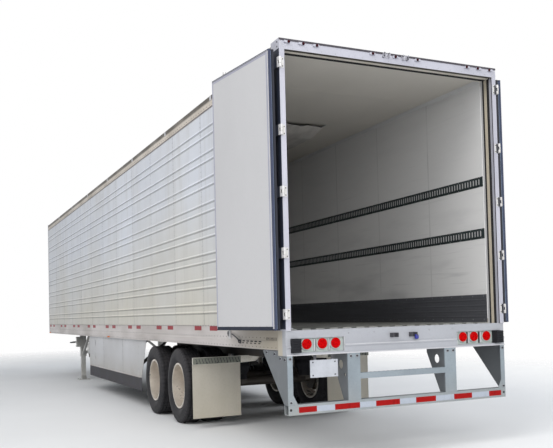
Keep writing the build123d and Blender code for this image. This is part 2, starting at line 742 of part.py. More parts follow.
def frame_leaf(z):
    """The post's half of a hinge: a leaf on the post's rear face, one knuckle and the pin."""
    half = HINGE_HEIGHT / 2
    gap = half - KNUCKLE_LENGTH - KNUCKLE_GAP
    outer = HALF_WIDTH
    leaf = block(-LEAF_THICKNESS, 0, outer - LEAF_WIDTH, outer, z - half, z + half)
    arm = [(0, outer - KNUCKLE_RADIUS), (-LEAF_THICKNESS, outer - KNUCKLE_RADIUS), (-LEAF_THICKNESS, outer)]
    arm += [(PIN_X, PIN_Y - KNUCKLE_RADIUS), (PIN_X, PIN_Y), (PIN_X + KNUCKLE_RADIUS, PIN_Y), (0, outer)]
    leaf += along_z(arm, z - gap, z + gap) + rod_z(PIN_X, PIN_Y, z - gap, z + gap, KNUCKLE_RADIUS)
    return leaf + rod_z(PIN_X, PIN_Y, z - half, z + half, PIN_RADIUS)


def rod_guide_z():
    """The heights of the lock rod's guides, evenly spaced."""
    first = DOOR_BOTTOM + ROD_GUIDE_FROM_BOTTOM
    pitch = (DOOR_TOP - ROD_GUIDE_FROM_TOP - first) / (ROD_GUIDES - 1)
    return [first + index * pitch for index in range(ROD_GUIDES)]


def lock_rod():
    """The lock rod with its cams and guides, and the handle with its catch."""
    y = ROD_Y
    x = -ROD_OFFSET
    rod = rod_z(x, y, ROD_BOTTOM, ROD_TOP, ROD_RADIUS)
    rod += rod_z(x, y, ROD_TOP - CAM_LENGTH, ROD_TOP, CAM_RADIUS)
    rod += rod_z(x, y, ROD_BOTTOM, ROD_BOTTOM + CAM_LENGTH, CAM_RADIUS)
    wide = ROD_GUIDE_WIDTH / 2
    tall = ROD_GUIDE_HEIGHT / 2
    for z in rod_guide_z():
        rod += block(x, 0, y - wide, y + wide, z - tall, z + tall)
    thick = HANDLE_THICKNESS / 2
    top = HANDLE_Z + HANDLE_HEIGHT / 2
    foot = HANDLE_Z - HANDLE_HEIGHT / 2
    rod += block(x - thick, x + thick, y, y + HANDLE_LENGTH, foot, top)
    catch = y + HANDLE_LENGTH - CATCH_FROM_END
    rod += block(x - 2 * thick, 0, catch, catch + CATCH_WIDTH, foot - CATCH_WALL, foot)
    return rod + block(x - thick, 0, catch, catch + CATCH_WIDTH, foot - CATCH_WALL, top)


def rod_keepers():
    """Lugs on the header and the sill that each cam turns behind."""
    y = ROD_Y
    inner = CAM_RADIUS + KEEPER_CLEAR
    outer = inner + KEEPER_WALL
    lugs = []
    for z, face in ((ROD_TOP - CAM_LENGTH, 0), (ROD_BOTTOM + CAM_LENGTH - KEEPER_HEIGHT, SILL_RIDGE)):
        lug = block(-KEEPER_REACH, face, y - outer, y - inner, z, z + KEEPER_HEIGHT)
        lug += block(-KEEPER_REACH, face, y + inner, y + outer, z, z + KEEPER_HEIGHT)
        lug += block(face - KEEPER_WALL, face, y - outer, y + outer, z, z + KEEPER_HEIGHT)
        lugs += both_sides(lug)
    return lugs


def at_rest(shape, side, angle):
    """Turns a shut left door to its rest angle, on the left (1) or the right (-1)."""
    opened = Pos(PIN_X, PIN_Y, 0) * Rot(0, 0, -angle) * Pos(-PIN_X, -PIN_Y, 0) * shape
    return opened if side > 0 else mirror(opened, about=Plane.XZ)


# Inside the box

def scuff_band():
    """A ribbed band along the foot of the left wall."""
    face = LINER_Y - SCUFF_THICKNESS
    crest = face - SCUFF_RIB
    top = FLOOR_TOP + SCUFF_HEIGHT
    outline = [(LINER_Y, FLOOR_TOP), (face, FLOOR_TOP)]
    for index in range(int(SCUFF_HEIGHT // SCUFF_RIB_PITCH) - 1):
        z = FLOOR_TOP + (index + 1) * SCUFF_RIB_PITCH
        outline += [(face, z - SCUFF_RIB_FOOT), (crest, z - SCUFF_RIB_CREST)]
        outline += [(crest, z + SCUFF_RIB_CREST), (face, z + SCUFF_RIB_FOOT)]
    outline += [(face, top), (LINER_Y, top)]
    return along_x(outline, FRAME_DEPTH, WALL_END)


def cargo_track(z):
    """A hat section rail for load fittings, on the left wall."""
    low = z - TRACK_HEIGHT / 2
    high = z + TRACK_HEIGHT / 2
    rim = LINER_Y - TRACK_RIM
    face = LINER_Y - TRACK_THICKNESS
    flank = TRACK_LIP + TRACK_FLANK
    outline = [(LINER_Y, low), (rim, low), (rim, low + TRACK_LIP), (face, low + flank)]
    outline += [(face, high - flank), (rim, high - TRACK_LIP), (rim, high), (LINER_Y, high)]
    return along_x(outline, FRAME_DEPTH, WALL_END)


def air_chute():
    """The cloth duct under the ceiling, open at both ends."""
    half = CHUTE_WIDTH / 2
    foot = CHUTE_FOOT_WIDTH / 2
    low = CEILING - CHUTE_DEPTH
    wall = CHUTE_WALL
    outer = [(-half, CEILING), (-foot, low), (foot, low), (half, CEILING)]
    inner = [(-half + wall, CEILING - wall), (-foot + wall, low + wall)]
    inner += [(foot - wall, low + wall), (half - wall, CEILING - wall)]
    return along_x(outer, *CHUTE_X) - along_x(inner, *CHUTE_X)


# Coupler and kingpin

def coupler():
    """The upper coupler: a plate turned up at its front, under a row of beams."""
    x0, x1 = COUPLER_X
    flat = x1 - COUPLER_RAMP
    top = COUPLER_Z + COUPLER_PLATE
    outline = [(x0, COUPLER_Z), (flat, COUPLER_Z), (x1, COUPLER_Z + COUPLER_LIFT), (x1, top + COUPLER_LIFT)]
    outline += [(flat, top), (x0, top)]
    plate = along_y(outline, -BEAM_HALF, BEAM_HALF)
    pitch = (flat - x0 - BEAM_WIDTH) / (COUPLER_BEAMS - 1)
    for index in range(COUPLER_BEAMS):
        x = x0 + index * pitch
        plate += block(x, x + BEAM_WIDTH, -BEAM_HALF, BEAM_HALF, top, FLOOR_BOTTOM)
    boss = rod_z(KINGPIN_X, 0, top, FLOOR_BOTTOM, 2 * SHANK_RADIUS)
    return plate + boss - rod_z(KINGPIN_X, 0, COUPLER_Z, FLOOR_BOTTOM, SHANK_RADIUS + SHANK_CLEARANCE)


def kingpin():
    """Shank in the coupler, then a narrow relief, the collar, the neck and the head."""
    relief = COUPLER_Z - RELIEF_LENGTH
    neck = COUPLER_Z - COLLAR_LENGTH
    head = neck - NECK_LENGTH
    foot = head - HEAD_LENGTH
    pin = rod_z(KINGPIN_X, 0, COUPLER_Z, FLOOR_BOTTOM, SHANK_RADIUS)
    pin += rod_z(KINGPIN_X, 0, relief, COUPLER_Z, RELIEF_RADIUS)
    pin += rod_z(KINGPIN_X, 0, neck, relief, COLLAR_RADIUS)
    pin += rod_z(KINGPIN_X, 0, head, neck, NECK_RADIUS)
    pin += rod_z(KINGPIN_X, 0, foot, head, HEAD_RADIUS)
    return chamfer(pin.edges().group_by(Axis.Z)[0], HEAD_CHAMFER)


# Landing gear

def landing_leg():
    """The left leg: outer tube, inner tube, and the shoe on the ground."""
    outer = LEG_OUTER / 2
    inner = LEG_INNER / 2
    toe = SHOE_LENGTH / 2
    leg = block(LEG_X - outer, LEG_X + outer, LEG_Y - outer, LEG_Y + outer, LEG_OUTER_BOTTOM, BEAM_BOTTOM)
    leg += block(LEG_X - inner, LEG_X + inner, LEG_Y - inner, LEG_Y + inner, SHOE_HEIGHT, LEG_OUTER_BOTTOM)
    tread = [(LEG_X - toe, 0), (LEG_X + toe, 0), (LEG_X + toe, SHOE_SOLE), (LEG_X + inner, SHOE_HEIGHT)]
    tread += [(LEG_X - inner, SHOE_HEIGHT), (LEG_X - toe, SHOE_SOLE)]
    leg += block(LEG_X - toe, LEG_X + toe, LEG_Y - SHOE_WIDTH / 2, LEG_Y + SHOE_WIDTH / 2, 0, SHOE_SOLE)
    return leg + along_y(tread, LEG_Y - inner, LEG_Y + inner)


def landing_brace():
    """Braces from the legs up to the cross members, the shaft between them and the crank."""
    inner = LEG_Y - LEG_OUTER / 2
    back = LEG_X - LEG_OUTER / 2
    low = BRACE_FOOT_Z
    slope = BRACE_SLOPE_WIDTH
    beam = beam_x(beam_near(LEG_X - BRACE_RUN))
    long_brace = [(back, low), (back, low + slope)]
    long_brace += [(beam + slope / 2, BEAM_BOTTOM), (beam - slope / 2, BEAM_BOTTOM)]
    reach = inner - BRACE_REACH
    cross = [(inner, low), (inner, low + slope), (reach + slope, BEAM_BOTTOM), (reach, BEAM_BOTTOM)]
    side = along_y(long_brace, LEG_Y - BRACE_WIDTH / 2, LEG_Y + BRACE_WIDTH / 2)
    inward = along_x(cross, LEG_X - BRACE_WIDTH / 2, LEG_X + BRACE_WIDTH / 2)
    gear_y = LEG_Y + LEG_OUTER / 2
    half_x = GEARBOX_LENGTH / 2
    half_z = GEARBOX_HEIGHT / 2
    crank_y = gear_y + GEARBOX_WIDTH
    gearbox = block(LEG_X - half_x, LEG_X + half_x, gear_y, crank_y, SHAFT_Z - half_z, SHAFT_Z + half_z)
    crank = rod_y(LEG_X, crank_y, crank_y + CRANK_REACH, SHAFT_Z, SHAFT_RADIUS)
    crank += block(LEG_X - CRANK_LENGTH, LEG_X + SHAFT_RADIUS, crank_y + CRANK_REACH - CRANK_BAR,
                   crank_y + CRANK_REACH, SHAFT_Z - CRANK_BAR / 2, SHAFT_Z + CRANK_BAR / 2)
    shaft = rod_y(LEG_X, -inner, inner, SHAFT_Z, SHAFT_RADIUS)
    return [*both_sides(side), *both_sides(inward), shaft, gearbox + crank]


# Wheels

def tyre(middle):
    """One tyre with its middle at the given y: bead, bulged sidewall, shoulder and tread."""
    r = TYRE_RADIUS
    side = [(BEAD_RADIUS, BEAD_HALF), (BEAD_RADIUS + BEAD_HEIGHT, BEAD_HALF + BEAD_STEP)]
    side += [(r - SIDEWALL_DROP, TYRE_WIDTH / 2), (r - SHOULDER_DROP, SHOULDER_HALF), (r, TREAD_HALF)]
    outline = [(radius, middle + half) for radius, half in side]
    outline += [(radius, middle - half) for radius, half in reversed(side)]
    return turned_y(outline)


def rim():
    """A dished wheel turned about the y axis. Its mounting face is at y = 0."""
    middle = TWIN_SPACING / 2
    low, high = middle - RIM_HALF, middle + RIM_HALF
    bead = BEAD_RADIUS - SEAT_CLEARANCE
    well = bead - RIM_WALL
    outline = [(RIM_FLANGE, low), (RIM_FLANGE, low + RIM_LIP), (bead, low + RIM_LIP + BEAD_STEP)]
    outline += [(bead, high - RIM_LIP - BEAD_STEP), (RIM_FLANGE, high - RIM_LIP), (RIM_FLANGE, high)]
    outline += [(well, high), (well, DISC_RISE + RIM_DISC), (DISC_FLAT_RADIUS, RIM_DISC)]
    outline += [(HUB_RADIUS, RIM_DISC), (HUB_RADIUS, 0), (DISC_FLAT_RADIUS, 0)]
    outline += [(well, DISC_RISE), (well, low)]
    wheel = turned_y(outline)
    length = 2 * (DISC_RISE + RIM_DISC)
    hole = Pos(0, DISC_RISE / 2, HAND_HOLE_PLACE) * Rot(90, 0, 0) * Cylinder(HAND_HOLE_RADIUS, length)
    for index in range(HAND_HOLES):
        wheel -= Rot(0, index * 360 / HAND_HOLES, 0) * hole
    return wheel


def wheel_pair():
    """Both rims back to back, the hub and the brake drum of the left end."""
    face = WHEEL_FACE_Y
    shape = Pos(0, face, 0) * rim() + Pos(0, face, 0) * mirror(rim(), about=Plane.XZ)
    bore = SPINDLE_RADIUS + SPINDLE_CLEARANCE
    cap = face + HUB_FRONT + HUB_CAP_LENGTH
    radius = HUB_RADIUS + HUB_LAND
    hub = [(bore, face - HUB_BACK), (radius, face - HUB_BACK), (radius, face + HUB_FRONT)]
    hub += [(HUB_CAP_RADIUS, cap), (0, cap), (0, cap - HUB_CAP_WALL), (bore, cap - HUB_CAP_WALL)]
    back = face - RIM_DISC
    drum = [(HUB_RADIUS, back), (DRUM_RADIUS, back), (DRUM_RADIUS, back - DRUM_WIDTH)]
    drum += [(DRUM_RADIUS - DRUM_WALL, back - DRUM_WIDTH), (DRUM_RADIUS - DRUM_WALL, back - DRUM_WALL)]
    drum += [(HUB_RADIUS, back - DRUM_WALL)]
    return shape + turned_y(hub) + turned_y(drum)


# Axles and suspension

def axle():
    """A round beam with a spindle, a brake backplate and a brake chamber at each end."""
    drum_open = WHEEL_FACE_Y - RIM_DISC - DRUM_WIDTH
    end = drum_open - AXLE_END_GAP + BACKPLATE_WIDTH
    beam = rod_y(0, -end, end, 0, AXLE_RADIUS)
    for side in (1, -1):
        beam += rod_y(0, *sorted((side * (end - BACKPLATE_WIDTH), side * (WHEEL_FACE_Y + SPINDLE_END))), 0,
                      SPINDLE_RADIUS)
        plate = end - BACKPLATE_INSET - BACKPLATE_WIDTH
        beam += rod_y(0, *sorted((side * plate, side * (plate + BACKPLATE_WIDTH))), 0, BACKPLATE_RADIUS)
        near, far = CHAMBER_Y, CHAMBER_Y + CHAMBER_LENGTH
        beam += rod_y(CHAMBER_AHEAD, *sorted((side * near, side * far)), CHAMBER_RISE, CHAMBER_RADIUS)
        beam += block(0, CHAMBER_AHEAD, *sorted((side * far, side * (far - CHAMBER_PLATE))),
                      CHAMBER_RISE - 2 * CHAMBER_PLATE_HALF, CHAMBER_RISE)
    return beam


def slider_rail():
    """The left channel of the sliding frame under the cross members."""
    y0 = SLIDER_Y - SLIDER_WIDTH / 2
    y1 = SLIDER_Y + SLIDER_WIDTH / 2
    low, top, wall = SLIDER_BOTTOM, BEAM_BOTTOM, SLIDER_WALL
    outline = [(y1, low), (y1, top), (y0, top), (y0, top - wall), (y1 - wall, top - wall)]
    outline += [(y1 - wall, low + wall), (y0, low + wall), (y0, low)]
    return along_x(outline, *SLIDER_X)


def hanger(axle_x):
    """A frame bracket whose two plates take the arm's pivot, on the left."""
    x = axle_x + ARM_PIVOT
    foot = PIVOT_Z - HANGER_DROP
    outline = [(x - HANGER_FOOT, foot), (x + HANGER_FOOT, foot)]
    outline += [(x + HANGER_AHEAD, SLIDER_BOTTOM), (x - HANGER_BEHIND, SLIDER_BOTTOM)]
    gap = ARM_WIDTH / 2 + HANGER_GAP
    plates = along_y(outline, SLIDER_Y + gap, SLIDER_Y + gap + HANGER_PLATE)
    plates += along_y(outline, SLIDER_Y - gap - HANGER_PLATE, SLIDER_Y - gap)
    return plates + rod_y(x, SLIDER_Y - gap - PIVOT_HEAD, SLIDER_Y + gap + PIVOT_HEAD, PIVOT_Z, PIVOT_RADIUS)


def slider_frame():
    """Two rails with cross ties and four hangers, all one welded piece."""
    left, right = both_sides(slider_rail())
    frame = left + right
    web = SLIDER_Y + SLIDER_WIDTH / 2 - SLIDER_WALL
    low = SLIDER_BOTTOM + SLIDER_TIE_RISE
    ties = [SLIDER_X[0] + SLIDER_TIE_INSET, SLIDER_X[1] - SLIDER_TIE_INSET]
    ties += [axle_x + ARM_PIVOT for axle_x in AXLE_X]
    for x in ties:
        frame += block(x - SLIDER_TIE / 2, x + SLIDER_TIE / 2, -web, web, low, low + SLIDER_TIE_HEIGHT)
    for axle_x in AXLE_X:
        for piece in both_sides(hanger(axle_x)):
            frame += piece
    return frame


def trailing_arm(axle_x):
    """The left arm from its pivot, over the axle, to the air spring's seat."""
    pivot = axle_x + ARM_PIVOT
    tail = axle_x - ARM_TAIL
    over = TYRE_RADIUS + AXLE_RADIUS + SEAT_CLEARANCE
    seat = SPRING_SEAT_Z
    eye = ARM_EYE_HALF
    outline = [(pivot + ARM_PIVOT_HALF, PIVOT_Z - eye), (pivot + ARM_PIVOT_HALF, PIVOT_Z + eye)]
    outline += [(axle_x + ARM_HUMP_HALF, over + ARM_HUMP), (axle_x - ARM_HUMP_HALF, over + ARM_HUMP)]
    low = seat - ARM_TAIL_DEPTH
    outline += [(axle_x - ARM_HUMP_HALF - ARM_HUMP, seat), (tail, seat), (tail, low)]
    outline += [(axle_x - ARM_HUMP_HALF - ARM_TAIL_DEPTH, low), (axle_x - ARM_HUMP_HALF, over)]
    outline += [(axle_x + ARM_HUMP_HALF, over), (pivot - ARM_PIVOT_HALF, PIVOT_Z - eye)]
    arm = along_y(outline, SLIDER_Y - ARM_WIDTH / 2, SLIDER_Y + ARM_WIDTH / 2)
    eye_radius = PIVOT_RADIUS + SEAT_CLEARANCE
    return arm - rod_y(pivot, SLIDER_Y - ARM_WIDTH, SLIDER_Y + ARM_WIDTH, PIVOT_Z, eye_radius)


def shock_absorber(axle_x):
    """A damper standing between the left arm's hump and the rail above it."""
    x = axle_x + ARM_HUMP_HALF - SHOCK_RADIUS
    low = TYRE_RADIUS + AXLE_RADIUS + SEAT_CLEARANCE + ARM_HUMP
    body = rod_z(x, SLIDER_Y, low, low + SHOCK_BODY, SHOCK_RADIUS)
    return body + rod_z(x, SLIDER_Y, low + SHOCK_BODY, SLIDER_BOTTOM, SHOCK_ROD_RADIUS)


def air_spring(axle_x):
    """A rubber spring between the arm's tail and the rail: two lobes on a base."""
    low, high = SPRING_SEAT_Z, SLIDER_BOTTOM
    base, waist, lobe = SPRING_BASE_RADIUS, SPRING_WAIST_RADIUS, SPRING_RADIUS
    side = [(0, 0), (base, 0), (base, 0.24), (lobe, 0.42), (lobe, 0.54), (waist, 0.64), (lobe, 0.74)]
    side += [(lobe, 0.86), (base, 1), (0, 1)]  # radius, share of the height
    outline = [(radius, low + share * (high - low)) for radius, share in side]
    face = Plane.XZ * make_face(Polyline(*outline, close=True))
    return Pos(axle_x - SPRING_BEHIND, SLIDER_Y, 0) * revolve(face, Axis.Z)


# Skirts and mud flaps

def skirt(z0, z1):
    """The left skirt between two heights, its ends leaning as the panel's do."""
    rear, front = SKIRT_X

    def ends(z):
        share = min((RAIL_BOTTOM - z) / (RAIL_BOTTOM - SKIRT_BOTTOM), 1)
        return rear + SKIRT_LEAN * share, front - SKIRT_FRONT_LEAN * share

    low_rear, low_front = ends(z0)
    top_rear, top_front = ends(z1)
    outline = [(low_rear, z0), (low_front, z0), (top_front, z1), (top_rear, z1)]
    return along_y(outline, SKIRT_Y - SKIRT_THICKNESS, SKIRT_Y)


def skirt_panel():
    """The white panel with its two upright slots near the front."""
    panel = skirt(SKIRT_BOTTOM, RAIL_BOTTOM)
    x = SKIRT_X[1] - SKIRT_SLOT_X
    for z in SKIRT_SLOT_Z:
        panel -= block(x, x + SKIRT_SLOT_WIDTH, SKIRT_Y - SKIRT_THICKNESS, SKIRT_Y, z, z + SKIRT_SLOT_HEIGHT)
    return panel


def skirt_struts():
    """Braces from the skirt's back up to the cross members."""
    face = SKIRT_Y - SKIRT_THICKNESS
    outline = [(face, STRUT_FOOT_Z), (face, STRUT_FOOT_Z + STRUT_SLOPE_WIDTH)]
    outline += [(face - STRUT_RUN + STRUT_WIDTH, BEAM_BOTTOM), (face - STRUT_RUN, BEAM_BOTTOM)]
    first = SKIRT_X[0] + STRUT_REAR_MARGIN
    pitch = (SKIRT_X[1] - STRUT_FRONT_MARGIN - first) / (STRUT_COUNT - 1)
    struts = []
    for index in range(STRUT_COUNT):
        x = beam_x(beam_near(first + index * pitch))
        struts += both_sides(along_x(outline, x - STRUT_WIDTH / 2, x + STRUT_WIDTH / 2))
    return struts


def flap_hanger():
    """The left arm that holds a mud flap: a deep bar that narrows towards the frame."""
    low, high = FLAP_BAR_Z
    pad = SLIDER_WIDTH / 2
    outer = GUARD_HALF
    outline = [(outer, low), (outer, high), (SLIDER_Y + pad, high), (SLIDER_Y + pad, SLIDER_BOTTOM)]
    outline += [(SLIDER_Y - pad, SLIDER_BOTTOM), (SLIDER_Y - pad, high), (FLAP_BAR_INNER_Y, high)]
    outline += [(FLAP_BAR_INNER_Y, high - FLAP_BAR_NOSE_DEPTH)]
    outline += [(FLAP_BAR_INNER_Y + FLAP_BAR_NOSE, low + FLAP_BAR_NOSE_RISE), (FLAP_INNER_Y, low)]
    return along_x(outline, FLAP_X - FLAP_BAR_DEPTH, FLAP_X)


def mud_flap():
    return block(FLAP_X, FLAP_X + FLAP_THICKNESS, FLAP_INNER_Y, GUARD_HALF, *FLAP_Z)


# Nose

def unit_housing():
    """The refrigeration unit: a deep upper housing that steps in below its waist."""
    x0 = BODY_LENGTH
    x1 = x0 + UNIT_DEPTH
    foot = x0 + UNIT_FOOT_DEPTH
    half = UNIT_WIDTH / 2
    outline = [(x0, UNIT_BOTTOM), (foot, UNIT_BOTTOM), (foot, UNIT_WAIST_Z - UNIT_WAIST_SLOPE)]
    outline += [(x1, UNIT_WAIST_Z), (x1, UNIT_TOP - UNIT_TOP_CHAMFER), (x1 - UNIT_TOP_CHAMFER, UNIT_TOP)]
    outline += [(x0, UNIT_TOP)]
    housing = along_y(outline, -half, half)
    cut = UNIT_SIDE_CHAMFER
    corner = [(x1 + 1, half + 1), (x1 - cut, half + 1), (x1 + 1, half - cut)]
    for side in both_sides(along_z(corner, UNIT_BOTTOM, UNIT_TOP)):
        housing -= side
    side = UNIT_GRILLE_WIDTH / 2
    return housing - block(x1 - UNIT_RECESS, x1, -side, side, *UNIT_GRILLE_Z)


def unit_grille():
    """Slats in a frame, set in the housing's recess."""
    x0 = BODY_LENGTH + UNIT_DEPTH - UNIT_RECESS
    x1 = x0 + UNIT_SLAT
    half = UNIT_GRILLE_WIDTH / 2 - UNIT_SEAT
    z0, z1 = UNIT_GRILLE_Z[0] + UNIT_SEAT, UNIT_GRILLE_Z[1] - UNIT_SEAT
    rim_width = UNIT_RIM
    grille = block(x0, x1, -half, half, z0, z1)
    grille -= block(x0, x1, -half + rim_width, half - rim_width, z0 + rim_width, z1 - rim_width)
    pitch = (z1 - z0 - 2 * rim_width) / UNIT_SLATS
    front_low, back_low, front_high, back_high = UNIT_SLAT_SHARES
    for index in range(UNIT_SLATS):
        z = z0 + rim_width + index * pitch
        slat = [(x0, z + front_high * pitch), (x0, z + back_high * pitch)]
        slat += [(x1, z + back_low * pitch), (x1, z + front_low * pitch)]
        grille += along_y(slat, -half + rim_width / 2, half - rim_width / 2)
    return grille


def fuel_tank():
    """A round tank on two straps under the cross members, on the left."""
    beam = beam_near(LEG_X - TANK_BEHIND_LEG)
    middle = (beam_x(beam) + beam_x(beam + 1)) / 2
    tank = rod_x(middle - TANK_LENGTH / 2, middle + TANK_LENGTH / 2, TANK_Y, TANK_Z, TANK_RADIUS)
    tank = chamfer(tank.edges().filter_by(GeomType.CIRCLE), TANK_CHAMFER)
    for index in (beam, beam + 1):
        x = beam_x(index) - TANK_STRAP / 2
        band = rod_x(x, x + TANK_STRAP, TANK_Y, TANK_Z, TANK_RADIUS + TANK_STRAP_WALL)
        for y in (TANK_Y - TANK_BRACKET_Y, TANK_Y + TANK_BRACKET_Y):
            band += block(x, x + TANK_STRAP, y - TANK_BRACKET / 2, y + TANK_BRACKET / 2,
                          TANK_Z + TANK_BRACKET_RISE, BEAM_BOTTOM)
        tank += band
    return tank


def front_connections():
    """A bracket on the nose with two air couplings and the electric socket between them."""
    x0 = BODY_LENGTH + CONNECT_PLATE
    tall = CONNECT_HEIGHT / 2
    plate = block(BODY_LENGTH, x0, CONNECT_Y[0] - CONNECT_MARGIN, CONNECT_Y[2] + CONNECT_MARGIN,
                  CONNECT_Z - tall, CONNECT_Z + tall)
    plate += rod_x(x0, x0 + SOCKET_LENGTH, CONNECT_Y[1], CONNECT_Z, SOCKET_RADIUS)
    for y in (CONNECT_Y[0], CONNECT_Y[2]):
        plate += rod_x(x0, x0 + COUPLING_STEM_LENGTH, y, CONNECT_Z, COUPLING_STEM)
        plate += rod_z(x0 + COUPLING_SET_OUT, y, CONNECT_Z - COUPLING_HEIGHT / 2,
                       CONNECT_Z + COUPLING_HEIGHT / 2, COUPLING_RADIUS)
    return plate


def build():
    add("side_wall_left", side_wall())
    add("side_wall_right", mirror(side_wall(), about=Plane.XZ))
    add("front_wall", front_wall())
    add("roof_panel", block(FRAME_DEPTH, WALL_END, -LINER_Y, LINER_Y, CEILING, ROOF_TOP))
    add("floor_deck", floor_deck())
    add("top_rails", *both_sides(top_rail()))
    add("bottom_rails", *both_sides(bottom_rail()))
    add("cross_members", *cross_members())
    add("rear_frame", rear_frame())
    add("rear_sill", rear_sill())
    add("tail_lamps", *tail_lamps())
    add("marker_lamps", *[header_marker(y) for y in HEADER_MARKER_Y])
    add("side_markers", *[lamp for x in SIDE_MARKER_X for lamp in both_sides(side_marker(x))])
    add("dock_buffers", *both_sides(dock_buffer()))
    add("rear_guard", rear_guard())
    add("plate_panel", plate_panel())
    add("scuff_bands", *both_sides(scuff_band()))
    tracks = [cargo_track(FLOOR_TOP + rise) for rise in TRACK_RISE]
    add("cargo_tracks", *[side for track in tracks for side in both_sides(track)])
    add("air_chute", air_chute())
    add("coupler", coupler())
    add("kingpin", kingpin())
    add("landing_legs", *both_sides(landing_leg()))
    add("landing_brace", *landing_brace())
    add("slider_frame", slider_frame())
    add("trailing_arms", *[arm for x in AXLE_X for arm in both_sides(trailing_arm(x))])
    add("shock_absorbers", *[damper for x in AXLE_X for damper in both_sides(shock_absorber(x))])
    add("air_springs", *[spring for x in AXLE_X for spring in both_sides(air_spring(x))])
    add("skirts", *both_sides(skirt_panel()))
    add("skirt_edges", *both_sides(skirt(SKIRT_EDGE_BOTTOM, SKIRT_BOTTOM)))
    add("skirt_struts", *skirt_struts())
    add("flap_hangers", *both_sides(flap_hanger()))
    add("mud_flaps", *both_sides(mud_flap()))
    add("unit_housing", unit_housing())
    add("unit_grille", unit_grille())
    add("fuel_tank", fuel_tank())
    add("front_connections", front_connections())
    add("frame_hinges", *[leaf for z in HINGE_Z for leaf in both_sides(frame_leaf(z))])
    add("rod_keepers", *rod_keepers())
    for name, side, angle in (("left", 1, REST_LEFT), ("right", -1, REST_RIGHT)):
        add(f"door_{name}", at_rest(door_panel(), side, angle))
        add(f"door_seal_{name}", at_rest(door_seal(), side, angle))
        straps = [at_rest(door_strap(z), side, angle) for z in HINGE_Z]
        add(f"door_hardware_{name}", at_rest(lock_rod(), side, angle), *straps)
    for place, x in zip(("rear", "front"), AXLE_X):
        add(f"axle_{place}", Pos(x, 0, TYRE_RADIUS) * axle())
        for name, side in (("left", 1), ("right", -1)):
            pieces = tyre(TYRE_Y), tyre(TYRE_Y - TWIN_SPACING), wheel_pair()
            hand = [shape if side > 0 else mirror(shape, about=Plane.XZ) for shape in pieces]
            placed = [Pos(x, 0, TYRE_RADIUS) * shape for shape in hand]
            add(f"tyres_{place}_{name}", *placed[:2])
            add(f"wheel_{place}_{name}", placed[2])


build()
os.makedirs("parts", exist_ok=True)
TO_KINGPIN = Pos(-KINGPIN_X, 0, -COUPLER_Z)
for part_name, part_shape in PARTS.items():
    export_step(TO_KINGPIN * part_shape, f"parts/{part_name}.step")
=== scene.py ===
import json
import math

import bmesh
import bpy
from mathutils import Matrix, Vector


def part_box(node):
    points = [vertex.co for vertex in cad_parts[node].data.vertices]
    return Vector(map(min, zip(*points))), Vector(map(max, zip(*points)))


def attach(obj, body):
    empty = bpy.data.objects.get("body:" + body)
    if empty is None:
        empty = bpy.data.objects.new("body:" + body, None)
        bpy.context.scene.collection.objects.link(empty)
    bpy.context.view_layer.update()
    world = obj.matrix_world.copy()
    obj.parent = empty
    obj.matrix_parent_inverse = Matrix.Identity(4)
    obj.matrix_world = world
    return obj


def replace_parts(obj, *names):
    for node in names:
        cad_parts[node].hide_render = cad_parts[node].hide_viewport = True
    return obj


# Insulated semi trailer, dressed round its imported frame. Metres. Places are measured from the
# rear frame's face (x, forwards), the centre line (y, to the left) and the ground (z).
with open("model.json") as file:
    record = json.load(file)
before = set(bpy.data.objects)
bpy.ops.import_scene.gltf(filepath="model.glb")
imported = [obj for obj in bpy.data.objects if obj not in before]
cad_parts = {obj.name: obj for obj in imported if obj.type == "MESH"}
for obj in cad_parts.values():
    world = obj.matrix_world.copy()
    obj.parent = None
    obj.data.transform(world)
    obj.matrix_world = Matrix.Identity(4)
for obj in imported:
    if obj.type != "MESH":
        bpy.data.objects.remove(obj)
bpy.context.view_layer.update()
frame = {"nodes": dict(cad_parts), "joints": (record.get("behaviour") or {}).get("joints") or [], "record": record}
scene = bpy.context.scene
scene.view_settings.view_transform = "Standard"

REAR_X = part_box("rear_frame")[0].x
GROUND_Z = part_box("landing_legs")[0].z
TO_ROW = Matrix.Translation((REAR_X, 0, GROUND_Z))


def measured(node):
    """A CAD node's two corners, from the rear face, the centre line and the ground."""
    low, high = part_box(node)
    shift = Vector((REAR_X, 0, GROUND_Z))
    return low - shift, high - shift


# Sizes read from the frame
HALF = measured("rear_sill")[1].y
NOSE_X = measured("front_wall")[1].x
ROOF_Z = measured("roof_panel")[1].z
FLOOR_Z = measured("scuff_bands")[0].z
CEILING_Z = measured("roof_panel")[0].z
LINER_Y = measured("side_wall_left")[0].y
SIDE_X = (measured("side_wall_left")[0].x, measured("side_wall_left")[1].x)
SIDE_Z = (measured("side_wall_left")[0].z, measured("side_wall_left")[1].z)
RAIL_Z = (measured("bottom_rails")[0].z, measured("bottom_rails")[1].z)
SILL_Z = (measured("rear_sill")[0].z, measured("rear_sill")[1].z)
FRAME_TOP = measured("rear_frame")[1].z
WHEELS = [(place, side) for place in ("rear", "front") for side in ("left", "right")]


# Camera, light and floor

CAMERA_PLACE = (-6.860, 4.320, 1.440)
CAMERA_YAW, CAMERA_PITCH, CAMERA_ROLL = -26.881, 1.965, -1.540
PHOTO_SIZE = (553, 448)
FOCAL_PIXELS = 793.4
LENS_CENTRE = (327.7, 285.6)
SENSOR = 36.0


